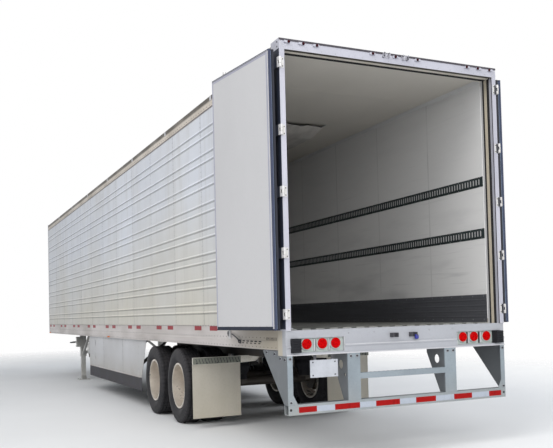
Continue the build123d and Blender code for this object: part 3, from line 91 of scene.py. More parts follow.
def photo_camera():
    """The camera at the photograph's place, with its level line and small shift."""
    yaw, pitch, roll = (math.radians(a) for a in (CAMERA_YAW, CAMERA_PITCH, CAMERA_ROLL))
    ahead = Vector((math.cos(pitch) * math.cos(yaw), math.cos(pitch) * math.sin(yaw), math.sin(pitch)))
    right = ahead.cross(Vector((0, 0, 1))).normalized()
    up = right.cross(ahead)
    turned = math.cos(roll) * right + math.sin(roll) * up
    upright = -math.sin(roll) * right + math.cos(roll) * up
    data = bpy.data.cameras.new("photo_camera")
    data.sensor_width = SENSOR
    data.lens = FOCAL_PIXELS / PHOTO_SIZE[0] * SENSOR
    data.shift_x = (PHOTO_SIZE[0] / 2 - LENS_CENTRE[0]) / PHOTO_SIZE[0]
    data.shift_y = (LENS_CENTRE[1] - PHOTO_SIZE[1] / 2) / PHOTO_SIZE[0]
    data.clip_end = 400
    camera = bpy.data.objects.new("photo_camera", data)
    scene.collection.objects.link(camera)
    axes = Matrix((turned, upright, -ahead)).transposed().to_4x4()
    camera.matrix_world = TO_ROW @ Matrix.Translation(CAMERA_PLACE) @ axes
    scene.camera = camera


def area_light(name, place, target, size, power, colour):
    """A soft round light, aimed at a target."""
    data = bpy.data.lights.new(name, "AREA")
    data.shape = "DISK"
    data.size = size
    data.energy = power
    data.color = colour
    light = bpy.data.objects.new(name, data)
    scene.collection.objects.link(light)
    aim = (Vector(target) - Vector(place)).to_track_quat("-Z", "Y")
    light.matrix_world = TO_ROW @ Matrix.Translation(place) @ aim.to_matrix().to_4x4()


def put(tree, kind, inputs=(), **settings):
    """Adds one node. Its inputs are values, or sockets that are joined up."""
    node = tree.nodes.new(kind)
    for key, value in settings.items():
        setattr(node, key, value)
    for key, value in dict(inputs).items():
        if isinstance(value, bpy.types.NodeSocket):
            tree.links.new(value, node.inputs[key])
        else:
            node.inputs[key].default_value = value
    return node


def calc(tree, operation, *values, **settings):
    """One step of arithmetic on one or two values."""
    return put(tree, "ShaderNodeMath", dict(enumerate(values)), operation=operation, **settings).outputs[0]


GLOW = {"Color": (0.86, 0.92, 1.0, 1), "Strength": 0.52}
LIGHTS = (  # name, place, target, size, power, colour
    ("sky_soft", (-6, 14, 16), (4, 0, 2), 16, 2600, (1.0, 0.985, 0.96)),
    ("rear_soft", (-16, 3, 7), (0, 0, 2), 10, 1950, (1.0, 0.99, 0.97)),
    ("right_soft", (4, -16, 12), (7, 0, 2), 14, 1300, (0.95, 0.97, 1.0)))


def studio():
    """An even pale surround with three soft lights. The camera and mirrors see white."""
    world = bpy.data.worlds.new("studio")
    scene.world = world
    world.use_nodes = True
    tree = world.node_tree
    tree.nodes.clear()
    rays = put(tree, "ShaderNodeLightPath")
    seen = rays.outputs["Is Camera Ray"]
    for ray in ("Is Glossy Ray", "Is Transmission Ray"):
        seen = calc(tree, "MAXIMUM", seen, rays.outputs[ray])
    glow = put(tree, "ShaderNodeBackground", GLOW)
    white = put(tree, "ShaderNodeBackground", {"Color": (1, 1, 1, 1), "Strength": 1.0})
    choice = put(tree, "ShaderNodeMixShader", {0: seen, 1: glow.outputs[0], 2: white.outputs[0]})
    put(tree, "ShaderNodeOutputWorld", {"Surface": choice.outputs[0]})
    for light in LIGHTS:
        area_light(*light)


# Finishes

def tone(red, green, blue):
    """A screen colour, from 0 to 255, as the linear colour that a shader takes."""
    shares = [value / 255 for value in (red, green, blue)]
    return tuple([s / 12.92 if s <= 0.04045 else ((s + 0.055) / 1.055) ** 2.4 for s in shares] + [1.0])


def noise(tree, vector, scale, detail=3.0, stretch=None):
    """Cloudy values about 0.5, drawn out along the axes whose stretch is small."""
    if stretch:
        vector = put(tree, "ShaderNodeMapping", {"Vector": vector, "Scale": stretch}).outputs[0]
    inputs = {"Vector": vector, "Scale": scale, "Detail": detail, "Roughness": 0.5}
    return put(tree, "ShaderNodeTexNoise", inputs).outputs["Fac"]


def span(tree, value, low, high, to_low=0.0, to_high=1.0):
    """A value's place between two others, as a share that runs between two shares."""
    inputs = {"Value": value, "From Min": low, "From Max": high, "To Min": to_low, "To Max": to_high}
    return put(tree, "ShaderNodeMapRange", inputs).outputs["Result"]


def times(tree, first, *others):
    """The product of several shares."""
    for other in others:
        first = calc(tree, "MULTIPLY", first, other)
    return first


def mixed(tree, share, first, second):
    """Two colours mixed by a share."""
    return put(tree, "ShaderNodeMix", {0: share, 6: first, 7: second}, data_type="RGBA").outputs[2]


def mixed_value(tree, share, first, second):
    """Two values mixed by a share."""
    return put(tree, "ShaderNodeMix", {0: share, 2: first, 3: second}, data_type="FLOAT").outputs[0]


def new_finish(name, roughness, metallic=0.0, specular=0.5):
    """A plain finish, with its tree, its shader and the place on the trailer."""
    material = bpy.data.materials.new(name)
    material.use_nodes = True
    tree = material.node_tree
    shader = tree.nodes["Principled BSDF"]
    shader.inputs["Roughness"].default_value = roughness
    shader.inputs["Metallic"].default_value = metallic
    shader.inputs["Specular IOR Level"].default_value = specular
    place = put(tree, "ShaderNodeTexCoord").outputs["Object"]
    return material, tree, shader, place


def bumped(tree, shader, height, depth, strength=0.6):
    """Gives a shader the small relief of a height."""
    node = put(tree, "ShaderNodeBump", {"Height": height, "Distance": depth, "Strength": strength})
    tree.links.new(node.outputs[0], shader.inputs["Normal"])


def coloured(tree, shader, colour):
    """Joins a colour to a shader."""
    tree.links.new(colour, shader.inputs["Base Color"])


def axis_of(tree, place, letter):
    """One coordinate of a place."""
    return put(tree, "ShaderNodeSeparateXYZ", {"Vector": place}).outputs[letter]


def along(tree, place, letter, low, high, *shares):
    """A share that changes, from 0 to 1 unless others are given, between two places on one axis."""
    shift = {"X": REAR_X, "Y": 0, "Z": GROUND_Z}[letter]
    return span(tree, axis_of(tree, place, letter), low + shift, high + shift, *shares)


def aside(tree, place, low, high):
    """A share that rises from 0 to 1 between two distances from the centre line."""
    return span(tree, calc(tree, "ABSOLUTE", axis_of(tree, place, "Y")), low, high)


SPREAD = 0.12


def weathered(name, colour, stain, roughness, metallic=0.0, patch=1.3, speck=55.0, share=0.45,
              grain=0.0003, stretch=None, dust=None, dust_z=None, specular=0.5):
    """A finish with large stains, fine specks, uneven gloss and grain, and dust that thins out upwards."""
    colour, stain = tone(*colour), tone(*stain)
    material, tree, shader, place = new_finish(name, roughness, metallic, specular)
    large = span(tree, noise(tree, place, patch, 4, stretch), 0.36, 0.70)
    fine = span(tree, noise(tree, place, speck, 2), 0.50, 0.72)
    base = mixed(tree, times(tree, large, share), colour, stain)
    base = mixed(tree, times(tree, fine, share * 0.5), base, stain)
    if dust:
        height = along(tree, place, "Z", *dust_z, 1.0, 0.0)
        cloud = span(tree, noise(tree, place, 3.1, 5), 0.25, 0.75, 0.35, 1.0)
        base = mixed(tree, times(tree, height, cloud), base, tone(*dust))
    coloured(tree, shader, base)
    rough = span(tree, large, 0, 1, roughness - SPREAD / 2, roughness + SPREAD)
    tree.links.new(rough, shader.inputs["Roughness"])
    bumped(tree, shader, noise(tree, place, speck * 3, 2, stretch), grain)
    return material


def patched(finish, mask, colour):
    """Lays a second colour over a finish where a mask says so."""
    tree = FINISHES[finish].node_tree
    shader = tree.nodes["Principled BSDF"]
    under = shader.inputs["Base Color"].links[0].from_socket
    place = next(node for node in tree.nodes if node.type == "TEX_COORD").outputs["Object"]
    coloured(tree, shader, mixed(tree, mask(tree, place), under, tone(*colour)))


def levels(tree, value, stops):
    """A grey that follows stops of (place from 0 to 1, level)."""
    node = put(tree, "ShaderNodeValToRGB", {0: value})
    ramp = node.color_ramp
    for index, (at, level) in enumerate(stops):
        stop = ramp.elements[index] if index < 2 else ramp.elements.new(at)
        stop.position = at
        stop.color = (level, level, level, 1)
    return node.outputs[0]


def shaded(tree, colour, grey, gain):
    """A colour multiplied by a grey and a gain."""
    scaled = put(tree, "ShaderNodeVectorMath", {0: grey, "Scale": gain}, operation="SCALE").outputs[0]
    return put(tree, "ShaderNodeVectorMath", {0: colour, 1: scaled}, operation="MULTIPLY").outputs[0]


def sheet_panels(tree, place, pitch, first):
    """A small random value for each sheet along the trailer."""
    past = calc(tree, "SUBTRACT", axis_of(tree, place, "X"), first)
    index = calc(tree, "FLOOR", calc(tree, "DIVIDE", past, pitch))
    return put(tree, "ShaderNodeTexWhiteNoise", {"W": index}, noise_dimensions="1D").outputs["Value"]


SEAM_PITCH = 1.22
SEAM_FIRST = 1.27
SEAM_WIDTH = 0.032
LAP_WIDTH = 0.010
# Side sheet colours: painted sky reflection, dust with painted warm reflection, sheet tones, dirt streaks, and
# painted shade at the laps and under the rail.
SHEET_SKY_REFLECTION = tone(208, 211, 218)
SHEET_DUST_AND_WARM_REFLECTION = tone(197, 193, 182)
SHEET_OTHER = tone(158, 158, 160)
SHEET_STREAK = tone(164, 160, 152)
LAP_SHADE = tone(112, 110, 112)
RAIL_SHADE = tone(96, 88, 88)
FLUTE_COUNT = 8
FLUTE_SPREAD = 0.102
FLUTE_ABOVE = 0.208
FLUTE_BELOW = 0.255
FLUTE_FIRST = SIDE_Z[0] + FLUTE_ABOVE
FLUTE_PITCH = (SIDE_Z[1] - FLUTE_BELOW - FLUTE_FIRST) / (FLUTE_COUNT - 1)
FLUTE_REACH = 0.05
# Grey levels of the painted shade under each bead and of the painted highlight on its crest.
FLUTE_STOPS = ((0.0, 0.75), (0.20, 0.75), (0.24, 0.43), (0.37, 0.43), (0.42, 0.93), (0.60, 0.93),
               (0.67, 0.75))
FLUTE_GAIN = 1.315
FLUTES_END = SIDE_Z[1] - 0.085
LINER_TONE = (217, 216, 215)
LINER_STAIN = (180, 179, 180)
CEILING_TONES = ((210, 205, 196), (182, 178, 168))
ROOF_TONES = ((205, 205, 202), (150, 148, 140))


def liner_look(tree, place):
    """White laminate with faint scuffs, more of them low down."""
    scuff = span(tree, noise(tree, place, 2.0, 5, (0.5, 1, 2.5)), 0.50, 0.78)
    streak = span(tree, noise(tree, place, 9.0, 3, (0.15, 0.15, 3.0)), 0.60, 0.80)
    low = along(tree, place, "Z", 1.3, 3.2, 0.75, 0.15)
    share = times(tree, calc(tree, "MAXIMUM", scuff, streak), low)
    return mixed(tree, share, tone(*LINER_TONE), tone(*LINER_STAIN))


def flute_shade(tree, place):
    """Painted shade under each rolled bead and a painted highlight on its crest."""
    first = GROUND_Z + FLUTE_FIRST - FLUTE_PITCH / 2
    from_first = calc(tree, "SUBTRACT", axis_of(tree, place, "Z"), first)
    phase = calc(tree, "FLOORED_MODULO", from_first, FLUTE_PITCH)
    offset = calc(tree, "SUBTRACT", phase, FLUTE_PITCH / 2)
    centre = times(tree, calc(tree, "SIGN", offset), FLUTE_SPREAD / 2)
    beside = calc(tree, "SUBTRACT", offset, centre)
    flutes = levels(tree, span(tree, beside, -FLUTE_REACH, FLUTE_REACH), FLUTE_STOPS)
    plain = (FLUTE_STOPS[0][1],) * 3 + (1,)
    return mixed(tree, along(tree, place, "Z", FLUTES_END, FLUTES_END + 0.005), flutes, plain)


def wall_finish():
    """Satin sheets: a painted sky reflection above, dust and a painted warm reflection below. White laminate
    inside.
    """
    material, tree, shader, place = new_finish("side_sheet_satin", 0.36, 0.0, 0.28)
    # Painted reflection: a cool sky colour high up, and a warm colour with dust low down.
    height = along(tree, place, "Z", 1.5, 3.1)
    wander = span(tree, noise(tree, place, 0.55, 3), 0.3, 0.7, -0.25, 0.25)
    outside = mixed(tree, calc(tree, "ADD", height, wander, use_clamp=True), SHEET_DUST_AND_WARM_REFLECTION, SHEET_SKY_REFLECTION)
    each = span(tree, sheet_panels(tree, place, SEAM_PITCH, REAR_X + SEAM_FIRST), 0, 1, 0.0, 0.14)
    outside = mixed(tree, each, outside, SHEET_OTHER)
    streaks = span(tree, noise(tree, place, 6.0, 4, (1.6, 1, 0.10)), 0.52, 0.80, 0.0, 0.30)
    outside = mixed(tree, streaks, outside, SHEET_STREAK)
    outside = shaded(tree, outside, flute_shade(tree, place), FLUTE_GAIN)
    lap = calc(tree, "SUBTRACT", axis_of(tree, place, "X"), REAR_X + SEAM_FIRST - SEAM_WIDTH / 2)
    past = calc(tree, "FLOORED_MODULO", lap, SEAM_PITCH)
    outside = mixed(tree, span(tree, past, LAP_WIDTH, LAP_WIDTH + 0.0001, 0.42, 0.0), outside, LAP_SHADE)
    under_rail = times(tree, along(tree, place, "Z", SIDE_Z[1] - 0.019, SIDE_Z[1] - 0.018), 0.75)
    outside = mixed(tree, under_rail, outside, RAIL_SHADE)
    is_skin = aside(tree, place, LINER_Y + 0.010, LINER_Y + 0.011)
    coloured(tree, shader, mixed(tree, is_skin, liner_look(tree, place), outside))
    gloss = span(tree, noise(tree, place, 3.0, 3), 0.3, 0.7, 0.36, 0.50)
    tree.links.new(mixed_value(tree, is_skin, 0.55, gloss), shader.inputs["Roughness"])
    tree.links.new(times(tree, is_skin, 0.05), shader.inputs["Metallic"])
    quilt = noise(tree, place, 1.9, 2, (1.0, 1.0, 1.6))
    dents = times(tree, noise(tree, place, 7.0, 2), 0.12)
    bumped(tree, shader, calc(tree, "ADD", quilt, dents), 0.007, 0.45)
    return material


def ceiling_finish():
    """White roof skin on top, dull laminate below."""
    material, tree, shader, place = new_finish("roof_and_ceiling", 0.55)
    above = along(tree, place, "Z", ROOF_Z - 0.010, ROOF_Z - 0.008)
    grime = span(tree, noise(tree, place, 1.1, 5, (0.4, 1, 1)), 0.35, 0.75, 0.0, 0.6)
    top = mixed(tree, grime, *(tone(*shade) for shade in ROOF_TONES))
    below = mixed(tree, times(tree, grime, 0.5), *(tone(*shade) for shade in CEILING_TONES))
    coloured(tree, shader, mixed(tree, above, below, top))
    bumped(tree, shader, noise(tree, place, 2.2, 2), 0.006, 0.4)
    return material


def lens_finish(name, colour, deep):
    """A moulded lens: fluted, glossy and a little lit from inside."""
    colour, deep = tone(*colour), tone(*deep)
    material, tree, shader, place = new_finish(name, 0.22, 0.0, 0.03)
    cells = put(tree, "ShaderNodeTexVoronoi", {"Vector": place, "Scale": 95.0}).outputs["Distance"]
    coloured(tree, shader, mixed(tree, span(tree, cells, 0.1, 0.7), colour, deep))
    shader.inputs["Emission Color"].default_value = colour
    shader.inputs["Emission Strength"].default_value = 0.10
    shader.inputs["Coat Weight"].default_value = 0.03
    bumped(tree, shader, cells, 0.0015, 0.5)
    return material


def tape_finish(name, colour, worn):
    """Retroreflective tape with its small cells and scratches."""
    colour, worn = tone(*colour), tone(*worn)
    material, tree, shader, place = new_finish(name, 0.42, 0.0, 0.15)
    cells = put(tree, "ShaderNodeTexVoronoi", {"Vector": place, "Scale": 120.0}).outputs["Distance"]
    scratch = span(tree, noise(tree, place, 26.0, 5, (1, 1, 0.4)), 0.56, 0.78, 0.0, 0.8)
    face = mixed(tree, span(tree, cells, 0.2, 0.6, 0.0, 0.25), colour, worn)
    coloured(tree, shader, mixed(tree, scratch, face, worn))
    bumped(tree, shader, cells, 0.0006, 0.5)
    return material


def cloth_finish():
    """Coated duct cloth: a fine square weave with creases."""
    material, tree, shader, place = new_finish("duct_weave", 0.75)
    threads = {"Vector": place, "Scale": 55.0, "Distortion": 0.4}
    weave = times(tree, *(put(tree, "ShaderNodeTexWave", threads, bands_direction=way).outputs["Fac"]
                          for way in ("X", "Y")))
    crease = span(tree, noise(tree, place, 4.0, 4, (0.6, 1.6, 1)), 0.35, 0.7)
    base = mixed(tree, crease, tone(160, 155, 149), tone(192, 188, 182))
    coloured(tree, shader, mixed(tree, times(tree, weave, 0.25), base, tone(110, 110, 114)))
    shader.inputs["Sheen Weight"].default_value = 0.15
    bumped(tree, shader, weave, 0.0008, 0.5)
    return material


def tyre_finish():
    """Black rubber, greyed by road dust on the tread and in rings on the sidewall."""
    material, tree, shader, place = new_finish("road_rubber", 0.72, 0.0, 0.35)
    dust = span(tree, noise(tree, place, 5.0, 5), 0.38, 0.72, 0.0, 0.55)
    fine = span(tree, noise(tree, place, 120.0, 2), 0.5, 0.75, 0.0, 0.4)
    base = mixed(tree, dust, tone(27, 27, 31), tone(64, 61, 63))
    coloured(tree, shader, mixed(tree, fine, base, tone(52, 50, 50)))
    bumped(tree, shader, noise(tree, place, 220.0, 2), 0.0006, 0.5)
    return material


FINISHES = {
    "wall_skin": wall_finish(),
    "roof_skin": ceiling_finish(),
    "rail_alloy": weathered("rail_alloy_worn", (193, 186, 183), (140, 132, 124), 0.45, 0.10, patch=1.7,
                            stretch=(0.5, 1, 2.0), share=0.5),
    "top_rail_alloy": weathered("top_rail_stained", (203, 193, 181), (156, 147, 134), 0.5, 0.08,
                                patch=2.6, stretch=(0.7, 1, 1), share=0.55),
    "frame_steel": weathered("frame_steel_satin", (181, 181, 191), (154, 154, 164), 0.42, 0.12,
                             patch=2.4, stretch=(1, 1, 0.4), share=0.45),
    "liner": weathered("door_laminate", (188, 187, 188), (173, 172, 173), 0.50, patch=0.9,
                       stretch=(1, 1, 0.5), share=0.4, grain=0.0002),
    "floor_alloy": weathered("floor_worn", (150, 151, 148), (92, 90, 84), 0.45, 0.15, patch=2.0,
                             stretch=(0.3, 1.5, 1), share=0.7),
    "scuff_alloy": weathered("scuff_plate_dark", (88, 89, 94), (58, 58, 62), 0.45, 0.15, patch=1.6,
                             stretch=(0.25, 1, 2), share=0.6),
    "track_steel": weathered("track_enamel", (38, 50, 50), (22, 26, 27), 0.5, 0.1, patch=4),
    "guard_steel": weathered("guard_zinc", (136, 146, 153), (111, 119, 126), 0.48, 0.15, patch=3.5,
                             share=0.55, dust=(150, 146, 138), dust_z=(0.3, 0.8)),
    "chassis_steel": weathered("chassis_black", (34, 34, 36), (70, 62, 54), 0.6, 0.1, patch=3.0,
                               share=0.6, dust=(84, 78, 70), dust_z=(0.1, 1.3)),
    "chassis_alloy": weathered("landing_alloy", (190, 190, 188), (140, 136, 128), 0.42, 0.6, patch=3.0,
                               share=0.5),
    "lamp_red": lens_finish("red_lens", (210, 2, 4), (140, 0, 3)),
    "lamp_dark": lens_finish("marker_lens", (66, 10, 16), (34, 5, 10)),
    "lamp_amber": lens_finish("amber_lens", (236, 128, 20), (160, 70, 6)),
    "black_rubber": weathered("black_rubber", (26, 27, 31), (46, 46, 50), 0.72, patch=8, share=0.4,
                              specular=0.2),
    "tyre": tyre_finish(),
    "wheel_alloy": weathered("wheel_alloy_worn", (226, 218, 208), (156, 147, 134), 0.33, 0.55, patch=6,
                             share=0.5, speck=90),
    "skirt_panel": weathered("skirt_white", (192, 192, 195), (166, 163, 158), 0.40, patch=0.9,
                             share=0.4, dust=(160, 154, 142), dust_z=(0.35, 0.8), specular=0.3),
    "skirt_rubber": weathered("skirt_rubber_grey", (58, 58, 64), (86, 82, 78), 0.7, patch=3, share=0.4,
                              specular=0.2),
    "flap_plastic": weathered("flap_dusty", (193, 188, 177), (164, 157, 143), 0.6, patch=2.0,
                              stretch=(1, 1, 0.35), share=0.6, dust=(168, 160, 142), dust_z=(0.0, 0.7)),
    "duct_cloth": cloth_finish(),
    "unit_shell": weathered("unit_white", (222, 222, 222), (188, 186, 180), 0.30, patch=1.2, share=0.4),
    "unit_dark": weathered("unit_dark", (26, 26, 28), (60, 60, 62), 0.55, patch=6),
    "plate_white": weathered("plate_pale", (176, 179, 186), (150, 152, 158), 0.45, patch=9, share=0.4),
    "fitting_steel": weathered("fitting_cream", (214, 210, 200), (160, 152, 140), 0.42, 0.35, patch=12,
                               share=0.5),
    "tape_red": tape_finish("tape_red", (152, 8, 7), (108, 6, 6)),
    "tape_side": tape_finish("tape_crimson", (146, 10, 30), (100, 8, 22)),
    "tape_white": tape_finish("tape_white", (166, 173, 184), (142, 148, 158)),
    # Bright metal, and the painted highlight on the sill's ridge.
    "bright_line": weathered("polished_edge", (196, 196, 200), (166, 166, 170), 0.35, 0.4, patch=6),
    "dark_gap": weathered("shadow_rubber", (20, 19, 22), (40, 38, 42), 0.8, patch=9),
    "cream_band": weathered("cream_band", (198, 188, 170), (158, 148, 130), 0.5, patch=4),
    "panel_grey": weathered("lamp_panel", (172, 180, 176), (140, 146, 144), 0.5, patch=14),
    "clamp_grey": weathered("clamp_grey", (122, 125, 114), (92, 94, 86), 0.55, patch=9),
    "bolt_dark": weathered("bolt_dark", (70, 70, 76), (44, 42, 44), 0.5, 0.5, patch=30),
    "bolt_zinc": weathered("bolt_zinc", (170, 174, 178), (120, 120, 122), 0.38, 0.7, patch=30),
    "rivet_dull": weathered("rivet_dull", (158, 159, 163), (126, 126, 130), 0.6, patch=30),
    "sill_steel": weathered("sill_steel_satin", (164, 166, 172), (142, 143, 149), 0.42, 0.12, patch=2.4,
                            stretch=(1, 0.4, 1), share=0.45),
    "joint_strip": weathered("joint_strip", (210, 209, 208), (186, 185, 184), 0.6, patch=3,
                             specular=0.3),
    "header_shade": weathered("header_shade", (72, 68, 60), (52, 50, 46), 0.6, patch=4),
    # Navy rubber of the door sweeps, and painted shade on the posts' outer sides.
    "navy_rubber_and_gap_shade": weathered("navy_rubber_and_gap_shade", (27, 32, 46), (44, 50, 66), 0.6, patch=5, specular=0.2),
    "olive_band": weathered("header_band", (226, 220, 208), (190, 182, 166), 0.6, patch=4),
    "dark_line_grey": weathered("dark_edge_lines", (62, 58, 66), (42, 40, 46), 0.6, patch=5),
    "door_trim": weathered("door_trim_edge", (160, 160, 174), (138, 138, 152), 0.5, 0.05, patch=3),
    # Painted highlight on the door seals.
    "seal_shine": weathered("seal_shine", (128, 142, 164), (96, 108, 130), 0.4, patch=8),
    "blue_cap": weathered("blue_cap", (34, 42, 140), (20, 26, 92), 0.4, patch=20),
    "post_leaf": weathered("post_leaf", (206, 205, 203), (166, 162, 156), 0.42, 0.1, patch=12,
                           share=0.4),
    "keeper": weathered("keeper_dark", (70, 70, 76), (44, 42, 44), 0.5, 0.3, patch=30),
    "strap": weathered("strap_pale", (203, 202, 203), (156, 151, 144), 0.45, 0.2, patch=12, share=0.5),
    "seal_left": weathered("navy_seal_left", (42, 50, 74), (62, 72, 98), 0.42, patch=5, share=0.4),
    "seal_right": weathered("navy_seal_right", (42, 50, 74), (62, 72, 98), 0.42, patch=5, share=0.4),
}

# Nodes whose look differs from their record slot's general finish
OWN_FINISH = {
    "roof_panel": "roof_skin", "top_rails": "top_rail_alloy", "front_wall": "skirt_panel",
    "rear_sill": "sill_steel", "rod_keepers": "keeper", "frame_hinges": "post_leaf",
    "marker_lamps": "frame_steel", "door_hardware_left": "strap", "door_hardware_right": "strap",
    "door_seal_left": "seal_left", "door_seal_right": "seal_right"}

# Painted shade: hinge leaves and strap ends by the doors, the open door's shadow on the bottom rail, the gussets,
# the plate's back and tabs, and each seal's outer half.
HINGE_SHADE = (36, 40, 52)
HINGE_SHADE_Y = ((-HALF + 0.003, -HALF + 0.004), (-HALF + 0.025, -HALF + 0.023))
TOP_EDGE = 0.064
TOP_EDGE_FADE = 0.024
TOP_EDGE_TONE = (64, 58, 49)
RAIL_DOOR_SHADOW = {"tone": (158, 148, 128), "x": (0.5, 1.7), "z": (1.09, 1.10)}
GUSSET_SHADE = {"tone": (98, 102, 106), "x": (0.010, 0.014), "y": (0.500, 0.504), "z": (0.562, 0.566)}
PLATE_BACK_SHADE = (46, 44, 46)
PLATE_TAB_SHADE = (60, 60, 64)
PLATE_X = (0.1, 0.12)
KEEPER_HIGH_TONE = (176, 176, 184)
SILL_END_TONE = (176, 168, 152)
SEAL_SHADE_TONE = (24, 27, 38)
SEAL_SHADE = (0.031, 0.033)


def far_leaf_shade(tree, place):
    """Painted shade on the leaves of the right post, which stand in the door's shade."""
    right = along(tree, place, "Y", -0.1, 0.1, 1.0, 0.0)
    return times(tree, right, *(along(tree, place, "Y", *fade) for fade in HINGE_SHADE_Y))


def dark_top_edge(tree, place):
    """A dark, uneven band along the top of the top rails."""
    top = ROOF_Z - TOP_EDGE
    uneven = span(tree, noise(tree, place, 1.4, 4), 0.35, 0.55, 0.80, 1.0)
    return times(tree, along(tree, place, "Z", top - TOP_EDGE_FADE, top), uneven)


def near_plate(tree, place, *shares):
    """Shares that hold only at the rear end, where the plate stands."""
    return times(tree, *shares, along(tree, place, "X", *PLATE_X, 1.0, 0.0))


def special_finishes():
    """Second colours that depend on the place on the trailer, or on the side of a door's edge. Several of them are
    painted shade.
    """
    patched("top_rail_alloy", lambda tree, place: aside(tree, place, LINER_Y + 0.001, LINER_Y), LINER_TONE)
    patched("top_rail_alloy", dark_top_edge, TOP_EDGE_TONE)
    # Painted shadow of the open door on the rear end of the bottom rail.
    patched("rail_alloy", lambda tree, place: times(
        tree, along(tree, place, "X", *RAIL_DOOR_SHADOW["x"], 0.75, 0.0),
        along(tree, place, "Z", *RAIL_DOOR_SHADOW["z"])), RAIL_DOOR_SHADOW["tone"])
    # Painted shade on the guard's gusset plates.
    patched("guard_steel", lambda tree, place: times(
        tree, along(tree, place, "X", *GUSSET_SHADE["x"]), along(tree, place, "Z", *GUSSET_SHADE["z"]),
        aside(tree, place, *GUSSET_SHADE["y"])), GUSSET_SHADE["tone"])
    # Painted shade on the back of the number plate.
    patched("plate_white", lambda tree, place: near_plate(
        tree, place, along(tree, place, "X", 0.0162, 0.0166)), PLATE_BACK_SHADE)
    patched("post_leaf", far_leaf_shade, HINGE_SHADE)
    patched("keeper", lambda tree, place: times(
        tree, along(tree, place, "Z", 3.0, 3.1),
        span(tree, noise(tree, place, 40.0, 2), 0.42, 0.50)), KEEPER_HIGH_TONE)
    # Painted shade on the straps' ends beside the hinge pins, in the dark gap by the post.
    patched("strap", lambda tree, place: times(
        tree, along(tree, place, "X", 0.080, 0.082, 1.0, 0.0),
        along(tree, place, "X", 0.012, 0.013), aside(tree, place, 1.250, 1.252)), HINGE_SHADE)
    patched("sill_steel", lambda tree, place: times(
        tree, along(tree, place, "X", 0.092, 0.094),
        aside(tree, place, HALF - 0.003, HALF - 0.001)), SILL_END_TONE)
    # Painted shade on the plate's tabs under the sill.
    tab_z = measured("plate_panel")[0].z + 0.170
    patched("plate_white", lambda tree, place: near_plate(
        tree, place, along(tree, place, "Z", tab_z, tab_z + 0.002),
        along(tree, place, "Z", 1.098, 1.100, 1.0, 0.0)), PLATE_TAB_SHADE)
    # Painted shade on the outer half of each door's seal, where the gap beside the post lies in shade.
    for hand in ("left", "right"):
        carry = PLACES[f"swing_door_{hand}"]
        ahead = (carry.to_3x3() @ Vector((1, 0, 0))).normalized()
        start = ahead.dot(carry @ Vector((0, 0, 0)))
        low, high = (start + depth for depth in SEAL_SHADE)
        patched(f"seal_{hand}", lambda tree, place: span(
            tree, put(tree, "ShaderNodeVectorMath", {0: place, 1: ahead},
                      operation="DOT_PRODUCT").outputs["Value"], low, high, 1.0, 0.0), SEAL_SHADE_TONE)


def dress_frame():
    """Gives each CAD node its finish."""
    special_finishes()
    slots = {part["node"]: part["material_slot"] for part in frame["record"]["subparts"]}
    for node, item in frame["nodes"].items():
        material = FINISHES[OWN_FINISH.get(node, slots[node])]
        if not item.material_slots:
            item.data.materials.append(material)
        for slot in item.material_slots:
            slot.material = material


FLOOR_TONES = ((0.80, 0.80, 0.80, 1), (0.84, 0.84, 0.84, 1))
FLOOR_SQUEEZE = 0.45
FLOOR_FADE = (5.0, 11.0)
FLOOR_REACH = 120


def ground():
    """The pale studio floor, which fades into the white surround far from the trailer."""
    material, tree, shader, place = new_finish("studio_floor", 0.7, 0.0, 0.2)
    cloud = span(tree, noise(tree, place, 0.35, 3), 0.3, 0.7)
    coloured(tree, shader, mixed(tree, cloud, *FLOOR_TONES))
    squeeze = (FLOOR_SQUEEZE, 1, 0)
    level = put(tree, "ShaderNodeVectorMath", {0: place, 1: squeeze}, operation="MULTIPLY").outputs[0]
    middle = (FLOOR_SQUEEZE * (REAR_X + NOSE_X / 2), 0, 0)
    away = put(tree, "ShaderNodeVectorMath", {0: level, 1: middle}, operation="DISTANCE").outputs["Value"]
    tree.links.new(span(tree, away, *FLOOR_FADE, 1.0, 0.0), shader.inputs["Alpha"])
    mesh = bpy.data.meshes.new("studio_floor")
    corners = [(-1, -1), (1, -1), (1, 1), (-1, 1)]
    mesh.from_pydata([(x * FLOOR_REACH, y * FLOOR_REACH, GROUND_Z) for x, y in corners], [], [(0, 1, 2, 3)])
    mesh.materials.append(material)
    floor = bpy.data.objects.new("studio_floor", mesh)
    scene.collection.objects.link(floor)


# Places of the bodies. A door's pieces are drawn with it shut, on the left. A wheel's are drawn
# about its centre, with y = 0 at its mounting face and +y outwards.

MIRROR = Matrix.Diagonal((1, -1, 1, 1))


def body_places():
    """For each body, what carries its drawn pieces to the row frame at rest."""
    places = {"trailer": TO_ROW}
    for joint in frame["joints"]:
        pivot = Matrix.Translation(joint["pos_m"])
        flip = MIRROR if joint["name"].endswith("right") else Matrix.Identity(4)
        if joint.get("continuous"):
            places[joint["child"]] = pivot @ flip
        else:
            opened = Matrix.Rotation(math.radians(-joint["range_deg"][0]), 4, Vector(joint["axis"]))
            places[joint["child"]] = pivot @ opened @ pivot.inverted() @ TO_ROW @ flip
    return places


PLACES = body_places()
BEVEL_ANGLE = 0.6
SHARP_ANGLE = math.radians(38)


